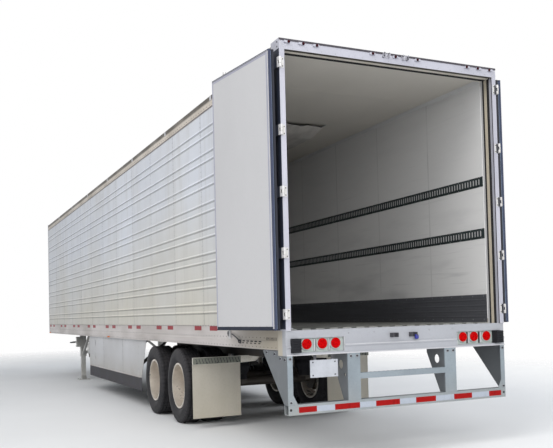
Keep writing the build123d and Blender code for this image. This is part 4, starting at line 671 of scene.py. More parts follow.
class Stock:
    """The points and faces of one piece before it becomes an object."""

    def __init__(self):
        self.points = []
        self.faces = []

    def turned(self, axis, a, b, along):
        """A point from its place along an axis and its two other coordinates."""
        return {"x": (along, a, b), "y": (a, along, b), "z": (a, b, along)}[axis]

    def prism(self, outline, axis, start, end):
        """A closed outline, in the two other coordinates, drawn along an axis."""
        first, count = len(self.points), len(outline)
        for along in (start, end):
            self.points += [self.turned(axis, a, b, along) for a, b in outline]
        near = list(range(first, first + count))
        far = [index + count for index in near]
        self.faces += [near[::-1], far]
        self.faces += [[near[i - 1], near[i], far[i], far[i - 1]] for i in range(count)]
        return self

    def slab(self, low, high):
        """A box between two opposite corners, given in any order."""
        (x0, x1), (y0, y1), (z0, z1) = (sorted(pair) for pair in zip(low, high))
        return self.prism([(x0, y0), (x1, y0), (x1, y1), (x0, y1)], "z", z0, z1)

    def ribbon(self, outer, inner, axis, start, end):
        """A thin strip between two lines of points, drawn along an axis."""
        first, count = len(self.points), len(outer)
        for line, along in ((outer, start), (outer, end), (inner, start), (inner, end)):
            self.points += [self.turned(axis, a, b, along) for a, b in line]
        a, b, c, d = (first + k * count for k in range(4))
        for i in range(count - 1):
            for one, two in ((a, b), (d, c), (c, a), (b, d)):
                self.faces.append([one + i, one + i + 1, two + i + 1, two + i])
        self.faces += [[a, b, d, c], [a + count - 1, c + count - 1, d + count - 1, b + count - 1]]
        return self

    def lathe(self, profile, centre, axis, steps=20, closed=False):
        """A (radius, along) profile turned about an axis through the centre."""
        rings = []
        for radius, along in profile:
            first = len(self.points)
            count = steps if radius > 1e-6 else 1
            for i in range(count):
                angle = math.tau * i / steps
                spot = self.turned(axis, radius * math.cos(angle), radius * math.sin(angle), along)
                self.points.append(tuple(Vector(spot) + Vector(centre)))
            rings.append(list(range(first, first + count)))
        pairs = list(zip(rings, rings[1:])) + ([(rings[-1], rings[0])] if closed else [])
        for one, two in pairs:
            for i in range(steps):
                j = (i + 1) % steps
                face = [one[i % len(one)], one[j % len(one)], two[j % len(two)], two[i % len(two)]]
                face = list(dict.fromkeys(face))
                if len(face) > 2:
                    self.faces.append(face)
        if not closed:
            self.faces += [ring for ring in (rings[0][::-1], rings[-1]) if len(ring) > 1]
        return self

    def hoop(self, radii, places, centre, axis, steps):
        """A flat ring between two radii and two places along its axis."""
        (inner, outer), (low, high) = radii, places
        profile = [(inner, low), (outer, low), (outer, high), (inner, high)]
        return self.lathe(profile, centre, axis, steps, closed=True)

    def tube(self, path, radius, sides=8):
        """A round bar along a path."""
        path = [Vector(point) for point in path]
        aim = (path[1] - path[0]).normalized()
        side = aim.orthogonal().normalized()
        rings = []
        for i, point in enumerate(path):
            ahead = (path[min(i + 1, len(path) - 1)] - path[max(i - 1, 0)]).normalized()
            side = (side - ahead * side.dot(ahead)).normalized()
            other = ahead.cross(side)
            first = len(self.points)
            for k in range(sides):
                angle = math.tau * k / sides
                out = math.cos(angle) * side + math.sin(angle) * other
                self.points.append(tuple(point + radius * out))
            rings.append(list(range(first, first + sides)))
        for one, two in zip(rings, rings[1:]):
            self.faces += [[one[k - 1], one[k], two[k], two[k - 1]] for k in range(sides)]
        self.faces += [rings[0][::-1], rings[-1]]
        return self

    def pill(self, centre, length, width, axis, along, depth):
        """A flat slot shape with round ends. along is "a" or "b", the way it is long."""
        half, radius = (length - width) / 2, width / 2
        outline = []
        for start, turn in ((half, -90), (-half, 90)):
            for step in range(5):
                angle = math.radians(turn + 45 * step)
                a, b = start + radius * math.cos(angle), radius * math.sin(angle)
                outline.append((a, b) if along == "a" else (b, a))
        ca, cb, start = centre
        return self.prism([(ca + a, cb + b) for a, b in outline], axis, start, start + depth)

    def mirrored(self):
        """Adds the same shapes on the other side of the centre line."""
        count = len(self.points)
        self.points += [(x, -y, z) for x, y, z in self.points]
        self.faces += [[index + count for index in reversed(face)] for face in self.faces]
        return self

    def mesh(self, name, bevel=0.0):
        """The shapes as one mesh, turned outwards, with its sharp edges bevelled if asked."""
        mesh = bpy.data.meshes.new(name)
        mesh.from_pydata(self.points, [], self.faces)
        shape = bmesh.new()
        shape.from_mesh(mesh)
        bmesh.ops.recalc_face_normals(shape, faces=shape.faces)
        if bevel:
            sharp = [edge for edge in shape.edges
                     if edge.is_manifold and edge.calc_face_angle() > BEVEL_ANGLE]
            bmesh.ops.bevel(shape, geom=sharp, offset=bevel, segments=1, affect="EDGES", clamp_overlap=True)
        shape.to_mesh(mesh)
        shape.free()
        return mesh


def seat(name, mesh, finish, body):
    """Puts a mesh, drawn in its body's place, into the scene and on that body."""
    mesh.transform(PLACES[body])
    if PLACES[body].determinant() < 0:
        mesh.flip_normals()
    mesh.name = name
    mesh.materials.clear()
    mesh.materials.append(FINISHES[finish])
    mesh.shade_smooth()
    mesh.set_sharp_from_angle(angle=SHARP_ANGLE)
    item = bpy.data.objects.new(name, mesh)
    scene.collection.objects.link(item)
    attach(item, body)
    return item


def piece(name, stock, finish, body="trailer", bevel=0.0):
    """Seats a stock's mesh."""
    return seat(name, stock.mesh(name, bevel), finish, body)


def seat_both(name, mesh, finish):
    """Seats a mesh and its mirror image on the trailer."""
    other = mesh.copy()
    other.transform(MIRROR)
    other.flip_normals()
    return seat(name, joined(name, [mesh, other]), finish, "trailer")


# Trees for what repeats

WELD = 0.00002


def start_tree(name, inputs):
    """A node tree with a geometry in, named inputs, a finish and a geometry out."""
    tree = bpy.data.node_groups.new(name, "GeometryNodeTree")
    tree.interface.new_socket("Geometry", in_out="OUTPUT", socket_type="NodeSocketGeometry")
    tree.interface.new_socket("Geometry", in_out="INPUT", socket_type="NodeSocketGeometry")
    for label, kind in inputs:
        tree.interface.new_socket(label, in_out="INPUT", socket_type="NodeSocket" + kind)
    tree.interface.new_socket("Finish", in_out="INPUT", socket_type="NodeSocketMaterial")
    return tree, put(tree, "NodeGroupInput").outputs


def end_tree(tree, given, points, copied, turn=(0, 0, 0), weld=None):
    """Puts a real copy on every point, welds the copies if asked, and gives them their finish."""
    inputs = {"Points": points, "Instance": copied, "Rotation": turn}
    placed = put(tree, "GeometryNodeInstanceOnPoints", inputs).outputs[0]
    shape = put(tree, "GeometryNodeRealizeInstances", {"Geometry": placed}).outputs[0]
    if weld:
        shape = put(tree, "GeometryNodeMergeByDistance", {"Geometry": shape, "Distance": weld}).outputs[0]
    shape = put(tree, "GeometryNodeSetMaterial", {"Geometry": shape, "Material": given["Finish"]}).outputs[0]
    put(tree, "NodeGroupOutput", {"Geometry": shape})
    return tree


def fastener_tree():
    """A bolt or rivet on every point, standing along the point's own facing."""
    inputs = [("Radius", "Float"), ("Height", "Float"), ("Crown", "Float"), ("Sides", "Int")]
    tree, given = start_tree("fasteners", inputs)
    top = times(tree, given["Radius"], given["Crown"])
    head = put(tree, "GeometryNodeMeshCone", {"Vertices": given["Sides"], "Radius Top": top,
                                              "Radius Bottom": given["Radius"], "Depth": given["Height"]})
    facing = put(tree, "GeometryNodeInputNamedAttribute", {"Name": "facing"}, data_type="FLOAT_VECTOR")
    turn = put(tree, "FunctionNodeAlignRotationToVector", {"Vector": facing.outputs[0]}, axis="Z")
    return end_tree(tree, given, given["Geometry"], head.outputs[0], turn.outputs[0])


def row_tree():
    """Copies of one shape in a straight row."""
    tree, given = start_tree("rows", [("Count", "Int"), ("Step", "Vector")])
    inputs = {"Count": given["Count"], "Offset": given["Step"]}
    points = put(tree, "GeometryNodeMeshLine", inputs, mode="OFFSET").outputs[0]
    return end_tree(tree, given, points, given["Geometry"])


def ring_tree():
    """Copies of one shape turned about an axis through a centre."""
    tree, given = start_tree("rings", [("Count", "Int"), ("Centre", "Vector"), ("Axis", "Vector")])
    inputs = {"Count": given["Count"], "Start Location": given["Centre"], "Offset": (0, 0, 0)}
    points = put(tree, "GeometryNodeMeshLine", inputs, mode="OFFSET").outputs[0]
    share = calc(tree, "DIVIDE", put(tree, "GeometryNodeInputIndex").outputs[0], given["Count"])
    angle = times(tree, share, math.tau)
    turn = put(tree, "FunctionNodeAxisAngleToRotation", {"Axis": given["Axis"], "Angle": angle}).outputs[0]
    return end_tree(tree, given, points, given["Geometry"], turn, weld=WELD)


FASTENERS = fastener_tree()
ROWS = row_tree()
RINGS = ring_tree()


def grown(name, mesh, tree, values, finish):
    """The plain mesh that a tree makes of a mesh."""
    carrier = bpy.data.objects.new(name, mesh)
    scene.collection.objects.link(carrier)
    modifier = carrier.modifiers.new("grow", "NODES")
    modifier.node_group = tree
    names = {item.name: item.identifier for item in tree.interface.items_tree if item.in_out == "INPUT"}
    for key, value in dict(values, Finish=FINISHES[finish]).items():
        modifier[names[key]] = value
    made = bpy.data.meshes.new_from_object(carrier.evaluated_get(bpy.context.evaluated_depsgraph_get()))
    carrier.modifiers.remove(modifier)
    bpy.data.objects.remove(carrier)
    return made


def joined(name, meshes):
    """Several plain meshes as one."""
    shape = bmesh.new()
    for mesh in meshes:
        shape.from_mesh(mesh)
    whole = bpy.data.meshes.new(name)
    shape.to_mesh(whole)
    shape.free()
    return whole


FIXINGS = {  # radius, height, share of the radius at the top, sides, finish
    "sheet_rivets": (0.0042, 0.0022, 0.7, 6, "rivet_dull"),
    "rail_rivets": (0.0055, 0.003, 0.7, 6, "bolt_dark"),
    "roof_rivets": (0.0055, 0.003, 0.7, 6, "bolt_zinc"),
    "header_end_bolts": (0.009, 0.004, 0.7, 6, "bolt_dark"),
    "header_rivets": (0.005, 0.003, 0.7, 6, "rivet_dull"),
    "top_rail_clip_bolts": (0.011, 0.003, 0.7, 6, "bolt_dark"),
    "lamp_screws": (0.005, 0.003, 0.5, 6, "bolt_zinc"),
    "sill_bolts": (0.009, 0.004, 0.7, 6, "rivet_dull"),
    "guard_end_holes": (0.014, 0.001, 0.7, 6, "dark_gap"),
    "guard_washers": (0.017, 0.003, 0.95, 14, "bolt_zinc"),
    "guard_bolts": (0.0115, 0.013, 0.86, 6, "bolt_dark"),
    "plate_bolts": (0.008, 0.006, 0.7, 6, "bolt_dark"),
    "flap_bolts": (0.010, 0.008, 0.7, 6, "bolt_dark"),
    "door_screws": (0.0045, 0.0010, 0.5, 6, "rivet_dull"),
    "door_bolts": (0.0095, 0.006, 0.6, 8, "bolt_dark"),
    "hinge_bolts": (0.0065, 0.004, 0.6, 8, "bolt_dark"),
    "inside_rivets": (0.005, 0.0025, 0.7, 6, "bolt_zinc"),
    "arm_bolts": (0.014, 0.014, 0.85, 6, "bolt_dark"),
    "skirt_rivets": (0.008, 0.003, 0.6, 8, "bolt_zinc"),
    "leg_bolts": (0.010, 0.008, 0.7, 6, "bolt_dark"),
    "coupler_rivets": (0.011, 0.0025, 0.6, 10, "chassis_steel"),
    "front_rivets": (0.006, 0.003, 0.7, 6, "bolt_zinc"),
    "unit_screws": (0.008, 0.0006, 0.7, 6, "bolt_zinc"),
}


def fasten(kind, spots, name=None, body="trailer"):
    """Bolts, rivets or round holes. Each spot is a place and the way that it faces."""
    name = name or kind
    radius, height, crown, sides, finish = FIXINGS[kind]
    mesh = bpy.data.meshes.new(name)
    mesh.from_pydata([tuple(spot) for spot, facing in spots], [], [])
    attribute = mesh.attributes.new("facing", "FLOAT_VECTOR", "POINT")
    attribute.data.foreach_set("vector", [value for spot, facing in spots for value in facing])
    values = {"Radius": radius, "Height": height, "Crown": crown, "Sides": sides}
    return seat(name, grown(name, mesh, FASTENERS, values, finish), finish, body)


def rows(stock, count, step, finish):
    """The mesh of a shape repeated along a step."""
    return grown("row", stock.mesh("row"), ROWS, {"Count": count, "Step": step}, finish)


def ring(stock, count, centre, axis, finish):
    """The mesh of a shape repeated about an axis."""
    values = {"Count": count, "Centre": centre, "Axis": axis}
    return grown("ring", stock.mesh("ring"), RINGS, values, finish)


def line(start, end, count, facing):
    """Evenly spaced spots from one place to another."""
    start, end = Vector(start), Vector(end)
    return [(start.lerp(end, i / max(count - 1, 1)), facing) for i in range(count)]


def mirrored_spots(spots):
    """The same spots on both sides of the centre line."""
    return spots + [((x, -y, z), (a, -b, c)) for (x, y, z), (a, b, c) in spots]


BACK, AHEAD, IN, OUT, DOWN, UP = (-1, 0, 0), (1, 0, 0), (0, -1, 0), (0, 1, 0), (0, 0, -1), (0, 0, 1)


# Side sheets, rails and roof

FLUTE_BEAD = 0.026
FLUTE_FLANK = 0.008
FLUTE_DEPTH = 0.008
SKIN_Y = HALF - FLUTE_DEPTH
SEAM_LIFT = 0.0014
SEAM_X = [SEAM_FIRST + SEAM_PITCH * k for k in range(12)]
SEAM_RIVET_X = (-0.012, 0.012)
SEAM_RIVET_RISE = 0.055
SEAM_RIVET_MARGIN = 0.02
RAIL_RIVET_PITCH = 0.102
RAIL_RIVET_END = 0.05
RAIL_WEB_Y = HALF - 0.005
RAIL_RIVET_ROWS = ((HALF, SIDE_Z[0] - 0.0075), (RAIL_WEB_Y, RAIL_Z[0] + 0.115), (HALF, RAIL_Z[0] + 0.022),
                   (HALF, SIDE_Z[1] + 0.022), (HALF, SIDE_Z[1] + 0.112))  # y, z


def sheet_profile(lift):
    """The fluted sheet's (y, z) line, moved outwards by lift."""
    points = [(SKIN_Y + lift, SIDE_Z[0] + 0.002)]
    for index in range(FLUTE_COUNT):
        for side in (-1, 1):
            middle = FLUTE_FIRST + index * FLUTE_PITCH + side * FLUTE_SPREAD / 2
            low, high = middle - FLUTE_BEAD / 2, middle + FLUTE_BEAD / 2
            points += [(SKIN_Y + lift, low - lift / 2), (HALF + lift, low + FLUTE_FLANK - lift / 2)]
            points += [(HALF + lift, high - FLUTE_FLANK + lift / 2), (SKIN_Y + lift, high + lift / 2)]
    return points + [(SKIN_Y + lift, SIDE_Z[1] - 0.002)]


def side_seams():
    """A strip over the flutes at each joint of the side sheets, with two rows of rivets."""
    strips = Stock()
    half = SEAM_WIDTH / 2
    for x in SEAM_X:
        strips.ribbon(sheet_profile(SEAM_LIFT), sheet_profile(-0.001), "x", x - half, x + half)
    piece("sheet_seams", strips.mirrored(), "wall_skin")
    spots = []
    for x in SEAM_X:
        for index in range(FLUTE_COUNT + 1):
            base = FLUTE_FIRST + (index - 0.5) * FLUTE_PITCH
            for z in (base - SEAM_RIVET_RISE, base, base + SEAM_RIVET_RISE, base + FLUTE_PITCH / 2):
                if SIDE_Z[0] + SEAM_RIVET_MARGIN < z < SIDE_Z[1] - SEAM_RIVET_MARGIN:
                    spots += [((x + dx, SKIN_Y + SEAM_LIFT, z), OUT) for dx in SEAM_RIVET_X]
    fasten("sheet_rivets", mirrored_spots(spots))


def rail_rivets():
    """Rows of rivets along the bottom and top rails."""
    count = int((SIDE_X[1] - SIDE_X[0]) / RAIL_RIVET_PITCH)
    first, last = SIDE_X[0] + RAIL_RIVET_END, SIDE_X[1] - RAIL_RIVET_END
    spots = []
    for y, z in RAIL_RIVET_ROWS:
        spots += line((first, y, z), (last, y, z), count, OUT)
    fasten("rail_rivets", mirrored_spots(spots))


RAIL_SLOTS = (  # x, z, length, width, count, step, long way
    (0.66, 1.166, 0.075, 0.013, 5, 0.115, "a"),
    (0.250, 1.196, 0.034, 0.010, 9, 0.031, "b"),
    (0.68, 1.145, 0.060, 0.010, 5, 0.115, "a"))
RAIL_FOLD_Z = RAIL_Z[0] + 0.085
SLOT_RIM = 0.008
SLOT_SUNK = 0.001
SLOT_RIM_DEPTH, SLOT_CORE_DEPTH = 0.0016, 0.0020


def rail_slots():
    """Slots punched in the bottom rail's rear end, each a dark core in a bright rim."""
    rims, cores = [], []
    for x, z, length, width, count, step, way in RAIL_SLOTS:
        foot = (x, z, (HALF if z < RAIL_FOLD_Z else RAIL_WEB_Y) - SLOT_SUNK)
        rim = Stock().pill(foot, length + SLOT_RIM, width + SLOT_RIM, "y", way, SLOT_RIM_DEPTH)
        core = Stock().pill(foot, length, width, "y", way, SLOT_CORE_DEPTH)
        rims.append(rows(rim, count, (step, 0, 0), "rail_alloy"))
        cores.append(rows(core, count, (step, 0, 0), "dark_gap"))
    seat_both("rail_slot_rims", joined("rail_slot_rims", rims), "rail_alloy")
    seat_both("rail_slot_cores", joined("rail_slot_cores", cores), "dark_gap")


SIDE_TAPE_X = (1.99, 3.85, 5.70, 7.57, 9.45, 11.30, 13.20, 15.10)
TAPE_LENGTH = 0.28
TAPE_STEP = 0.60
TAPE_HEIGHT = 0.054
TAPE_THICKNESS = 0.0008
SIDE_TAPE_Z = 1.292


def side_tape():
    """Pairs of red patches along the bottom rail."""
    red = Stock()
    low, high = SIDE_TAPE_Z - TAPE_HEIGHT / 2, SIDE_TAPE_Z + TAPE_HEIGHT / 2
    for x in SIDE_TAPE_X:
        for start in (x, x + TAPE_STEP):
            end = min(start + TAPE_LENGTH, SIDE_X[1] - 0.01)
            red.slab((start, RAIL_WEB_Y, low), (end, RAIL_WEB_Y + TAPE_THICKNESS, high))
    piece("side_tape_red", red.mirrored(), "tape_side")


ROOF_RIVET_Y = LINER_Y + 0.014
ROOF_STRIP_Y = (LINER_Y - 0.006, LINER_Y + 0.006)
ROOF_LAP_Z = ROOF_Z + 0.0015
ROOF_LAP_HALF = 0.02
ROOF_RIVETS = (24, 150)  # across each lap, along each edge


def roof_top():
    """Lapped roof sheets with rivets along both edges."""
    strips, spots = Stock(), []
    for x in SEAM_X:
        strips.slab((x - ROOF_LAP_HALF, -LINER_Y, ROOF_Z), (x + ROOF_LAP_HALF, LINER_Y, ROOF_LAP_Z))
        spots += line((x, -LINER_Y + 0.05, ROOF_LAP_Z), (x, LINER_Y - 0.05, ROOF_LAP_Z), ROOF_RIVETS[0], UP)
    inner, outer = ROOF_STRIP_Y
    for side in (-1, 1):
        y = side * ROOF_RIVET_Y
        spots += line((SIDE_X[0] + 0.03, y, ROOF_Z), (SIDE_X[1], y, ROOF_Z), ROOF_RIVETS[1], UP)
        strips.slab((SIDE_X[0], side * inner, ROOF_Z), (SIDE_X[1], side * outer, ROOF_Z + 0.002))
    piece("roof_seams", strips, "roof_skin")
    fasten("roof_rivets", spots)


# Rear frame and sill

POST_INNER = HALF - 0.054
HEADER_Z = FRAME_TOP - 0.105
BAND_THICKNESS = 0.0015
JAMB_BANDS = (  # name, start and end from the rear face, finish
    ("jamb_corner", -0.0004, 0.012, "dark_line_grey"), ("jamb_gasket", 0.050, 0.090, "dark_gap"),
    ("jamb_cream", 0.092, 0.137, "cream_band"), ("jamb_inner_gasket", 0.139, 0.166, "dark_gap"),
    ("jamb_liner", 0.168, 0.199, "liner"))
HEADER_BANDS = (
    ("header_front", -0.0004, 0.046, "header_shade"), ("header_olive", 0.047, 0.100, "olive_band"),
    ("header_gasket", 0.101, 0.160, "dark_gap"), ("header_back", 0.161, 0.198, "roof_skin"))
HEADER_BOLTS = ((0.050, 0.028), (0.048, 0.075))  # x, drop from the top
HEADER_TOP_LINE = ((-0.004, 0.022), (0.002, 0.022), (0.002, 0.001), (-0.002, 0.001), (-0.006, 0.012))  # x, drop
FRAME_WELD = 0.0035
POST_SHADE_X = (0.004, 0.196)
POST_SHADE_Z = (SILL_Z[1] + 0.014, FRAME_TOP - 0.100)
HEADER_RIVET_Y = 1.15
LAMP_BOX_Y = (HALF - 0.6255, HALF - 0.0475)
LAMP_BOX_Z = (1.066, 1.204)
LAMP_BOX_DEPTH = 0.045
LAMP_Z = 1.147
LAMP_Y = (HALF - 0.2235, HALF - 0.3905, HALF - 0.5345)
LAMP_FACE = 0.013
GROMMET = ((0.0513, 0.026), (0.058, 0.026), (0.063, 0.033), (0.063, 0.0400), (0.0513, 0.0400))
LAMP_CELL = ((0.0075, 0.0), (0.0065, -0.0022), (0.003, -0.0034), (0, -0.0038))
LAMP_RINGS = ((9, 0.026), (1, 0))  # cells, distance from the lamp's middle
BUFFER_WIDTH = 0.088
BUFFER_RIBS = 5
DIVIDER_Y = (1.151, 0.9885, 0.833)


def jamb_strip(x0, x1):
    """A strip up the inside of both posts."""
    low, high = (x0, POST_INNER - BAND_THICKNESS, SILL_Z[1]), (x1, POST_INNER, HEADER_Z)
    return Stock().slab(low, high).mirrored()


def header_strip(x0, x1):
    """A strip along the header's underside."""
    half = POST_INNER - BAND_THICKNESS
    return Stock().slab((x0, -half, HEADER_Z - BAND_THICKNESS), (x1, half, HEADER_Z))


def frame_trim():
    """Bands round the doorway, dark strips of painted shade on the posts' outer sides, and a dark line along the
    header's top.
    """
    for name, x0, x1, finish in JAMB_BANDS:
        piece(name, jamb_strip(x0, x1), finish)
    for name, x0, x1, finish in HEADER_BANDS:
        piece(name, header_strip(x0, x1), finish)
    spots = [((x, HALF, FRAME_TOP - drop), OUT) for x, drop in HEADER_BOLTS]
    fasten("header_end_bolts", mirrored_spots(spots))
    # Dark strips on the posts' outer sides: painted shade of the gap beside the open doors.
    (x0, x1), (z0, z1) = POST_SHADE_X, POST_SHADE_Z
    sides = Stock().slab((x0, HALF, z0), (x1, HALF + 0.0012, z1))
    piece("post_gap_shade", sides.mirrored(), "navy_rubber_and_gap_shade")
    # A dark line along the header's top edge.
    top_line = Stock().prism([(x, FRAME_TOP - drop) for x, drop in HEADER_TOP_LINE], "y", -HALF, HALF)
    piece("header_top_line", top_line, "dark_line_grey")
    welds = Stock()
    for side in (-1, 1):
        inner, outer = side * POST_INNER, side * (HALF - 0.002)
        foot = side * (POST_INNER + 0.004)
        welds.tube([(-0.0005, inner, HEADER_Z), (-0.0005, outer, FRAME_TOP - 0.02)], FRAME_WELD, 6)
        welds.tube([(0.0005, foot, SILL_Z[1]), (0.0005, outer, SILL_Z[1])], FRAME_WELD, 6)
    piece("frame_welds", welds, "bright_line")
    z = HEADER_Z + 0.018
    spots = line((0, -HEADER_RIVET_Y, z), (0, HEADER_RIVET_Y, z), 16, BACK)
    fasten("header_rivets", spots)


TOP_CLIP_FIRST = 2.05
TOP_CLIP_PITCH = 2.0
TOP_CLIP_HALF = 0.030
TOP_CLIP_BOLT_X = -0.045
TOP_CLIP_DROP = (0.074, 0.018)


def top_rail_clips():
    """Small cover plates over the joints of the top rails."""
    plates, spots = Stock(), []
    face = measured("top_rails")[1].y
    low, high = (measured("top_rails")[1].z - drop for drop in TOP_CLIP_DROP)
    x = TOP_CLIP_FIRST
    while x < SIDE_X[1] - 0.2:
        plates.slab((x - TOP_CLIP_HALF, face, low), (x + TOP_CLIP_HALF, face + 0.0015, high - 0.006))
        spots.append(((x + TOP_CLIP_BOLT_X, face, (low + high) / 2), OUT))
        x += TOP_CLIP_PITCH
    piece("top_rail_clips", plates.mirrored(), "bright_line")
    fasten("top_rail_clip_bolts", mirrored_spots(spots))


MARKER_DOME = ((0.0145, 0.001), (0.0145, -0.003), (0.0125, -0.008), (0.0075, -0.0115), (0, -0.0125))
MARKER_DOME_Y = (1.200, 1.045, 0.898, 0.268, 0, -0.268, -0.898, -1.045, -1.200)


def marker_domes():
    """A small dark lens on each painted base of the header."""
    stock = Stock()
    low, high = measured("marker_lamps")
    middle = (low.z + high.z) / 2
    for y in MARKER_DOME_Y:
        stock.lathe(MARKER_DOME, (low.x, y, middle), "x", 14)
    piece("marker_domes", stock, "lamp_dark")


def sill_lamps():
    """Grey panels, grommets, dividers and the cells of each lamp."""
    panel, dividers, gaps, grommets = Stock(), Stock(), Stock(), Stock()
    y0, y1 = LAMP_BOX_Y
    z0, z1 = LAMP_BOX_Z
    back = LAMP_BOX_DEPTH - 0.005
    panel.slab((back, y0 + 0.001, z0 + 0.001), (LAMP_BOX_DEPTH, y1 - BUFFER_WIDTH - 0.001, z1 - 0.001))
    for y in DIVIDER_Y[1:]:
        dividers.slab((0.020, y - 0.004, z0 + 0.012), (back, y + 0.006, z1 - 0.012))
        gaps.slab((0.034, y - 0.016, z0 + 0.010), (back + 0.0005, y - 0.005, z1 - 0.010))
    dividers.slab((0.004, y0 - 0.001, z0), (LAMP_BOX_DEPTH, y0 + 0.004, z1))
    for y in LAMP_Y:
        grommets.lathe(GROMMET, (0, y, LAMP_Z), "x", 28, closed=True)
    spots = [((back, y, z), BACK) for y in DIVIDER_Y for z in (z0 + 0.016, z1 - 0.016)]
    piece("lamp_panels", panel.mirrored(), "panel_grey")
    piece("lamp_dividers", dividers.mirrored(), "bright_line")
    piece("lamp_gaps", gaps.mirrored(), "dark_gap")
    piece("lamp_grommets", grommets.mirrored(), "panel_grey")
    fasten("lamp_screws", mirrored_spots(spots))
    cells = []
    for side in (-1, 1):
        for y in LAMP_Y:
            for count, radius in LAMP_RINGS:
                dot = Stock().lathe(LAMP_CELL, (0, 0, radius), "x", 8)
                cells.append(ring(dot, count, (LAMP_FACE, side * y, LAMP_Z), AHEAD, "lamp_red"))
    seat("lamp_cells", joined("lamp_cells", cells), "lamp_red", "trailer")


LINE_PROUD = 0.0012
SILL_LIP = 0.011
SILL_RIDGE_Z = (1.124, 1.132)
SILL_TREAD = {"first": -HALF + 0.03, "pitch": 0.0672, "count": 38, "height": 0.0018}
TREAD_BARS = (  # x and y of the two slanting bars of one pitch
    ((0.03, 0), (0.06, 0.018), (0.063, 0.015), (0.034, -0.004)),
    ((0.10, 0.018), (0.13, 0), (0.134, 0.004), (0.103, 0.021)))
SILL_BOLT_Y = (0.62, 0.33, -0.33, -0.62)
CAP_FOOT = (-0.026, -0.147, 1.150)
CAP_LINE = ((0, 0.0), (0.014, 0.0), (0.020, 0.005), (0.022, 0.030), (0.018, 0.044), (0.008, 0.050),
            (0, 0.051))
CAP_TAIL = ((-0.026, -0.147, 1.199), (-0.030, -0.148, 1.212), (-0.036, -0.146, 1.222),
            (-0.040, -0.140, 1.216))


def sill_details():
    """Ribbed buffers, bolts, the bright lower lip, the step strip on top and the small blue cap."""
    low, high = measured("dock_buffers")
    shoulder = low.x + 0.006
    outline = [(high.x, low.z), (shoulder, low.z)]
    pitch = (high.z - low.z) / BUFFER_RIBS
    for k in range(BUFFER_RIBS):
        foot = low.z + k * pitch
        outline += [(shoulder, foot + 0.15 * pitch), (low.x, foot + 0.3 * pitch)]
        outline += [(low.x, foot + 0.7 * pitch), (shoulder, foot + 0.85 * pitch)]
    outline += [(shoulder, high.z), (high.x, high.z)]
    buffers = Stock().prism(outline, "y", high.y - BUFFER_WIDTH, high.y)
    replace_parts(piece("ribbed_buffers", buffers.mirrored(), "black_rubber"), "dock_buffers")
    lip = Stock().slab((-LINE_PROUD, -HALF, SILL_Z[0]), (0.0, HALF, SILL_Z[0] + SILL_LIP))
    piece("sill_lip", lip, "bright_line")
    # A bright strip along the sill's ridge: painted highlight.
    reach = LAMP_BOX_Y[0] - 0.004
    ridge = Stock().slab((-LINE_PROUD, -reach, SILL_RIDGE_Z[0]), (0, reach, SILL_RIDGE_Z[1]))
    piece("sill_ridge", ridge, "bright_line")
    edge = Stock()
    for k in range(SILL_TREAD["count"]):
        y = SILL_TREAD["first"] + k * SILL_TREAD["pitch"]
        for bar in TREAD_BARS:
            edge.prism([(a, y + b) for a, b in bar], "z", SILL_Z[1], SILL_Z[1] + SILL_TREAD["height"])
    piece("sill_tread", edge, "bright_line")
    spots = [((0.012, y, SILL_Z[1] - 0.040), BACK) for y in SILL_BOLT_Y]
    fasten("sill_bolts", spots)
    cap = Stock().lathe(CAP_LINE, CAP_FOOT, "z", 14)
    piece("seal_cap", cap.tube(CAP_TAIL, 0.003, 6), "blue_cap")


# Rear guard, plate and mud flaps

GUARD_HALF = measured("rear_guard")[1].y
GUARD_BAR_Z = (measured("rear_guard")[0].z, measured("rear_guard")[0].z + 0.100)
GUARD_RED_Y = ((0.993, 1.182), (0.522, 0.798), (0.060, 0.339), (-0.378, -0.133), (-0.838, -0.606),
               (-1.226, -1.064))
GUARD_TAPE_Z = (0.501, 0.555)
GUARD_BOLTS = (
    ((0, 0.540, 1.012), BACK), ((0, 0.610, 1.012), BACK), ((0.05, GUARD_HALF, 1.005), OUT),
    ((0.16, GUARD_HALF, 1.012), OUT), ((0.30, GUARD_HALF, 1.052), OUT), ((0.50, GUARD_HALF, 1.062), OUT),
    ((0, 1.262, 1.012), BACK), ((0, 1.262, 0.60), BACK))
GUARD_END_HOLE = (0, 1.264, 0.531)
GUARD_WELD_Z = GUARD_BAR_Z[1] + 0.001
GUARD_WELDS = (  # start, end, radius
    ((0.006, 0.505, GUARD_WELD_Z), (0.098, 0.505, GUARD_WELD_Z), 0.004),
    ((0.006, 0.645, GUARD_WELD_Z), (0.098, 0.645, GUARD_WELD_Z), 0.004),
    ((0.002, 0.51, GUARD_WELD_Z), (0.002, 0.64, GUARD_WELD_Z), 0.004),
    ((0.002, 1.19, GUARD_WELD_Z), (0.002, GUARD_HALF - 0.004, GUARD_WELD_Z), 0.004),
    ((0.004, 0.504, 0.786), (0.038, 0.504, 0.786), 0.003),
    ((0.004, 0.504, 0.840), (0.038, 0.504, 0.840), 0.003))
STEP_TREADS = {"first": -0.49, "pitch": 0.051, "count": 20, "width": 0.008}
STEP_TREAD_X = (0.006, 0.034)
STEP_TREAD_Z = (0.842, 0.8445)
PLATE_HEIGHT = 0.168
PLATE_BOLT_Z = (0.022, 0.146)
PLATE_RIM = (0.006, 0.0015)  # width, thickness


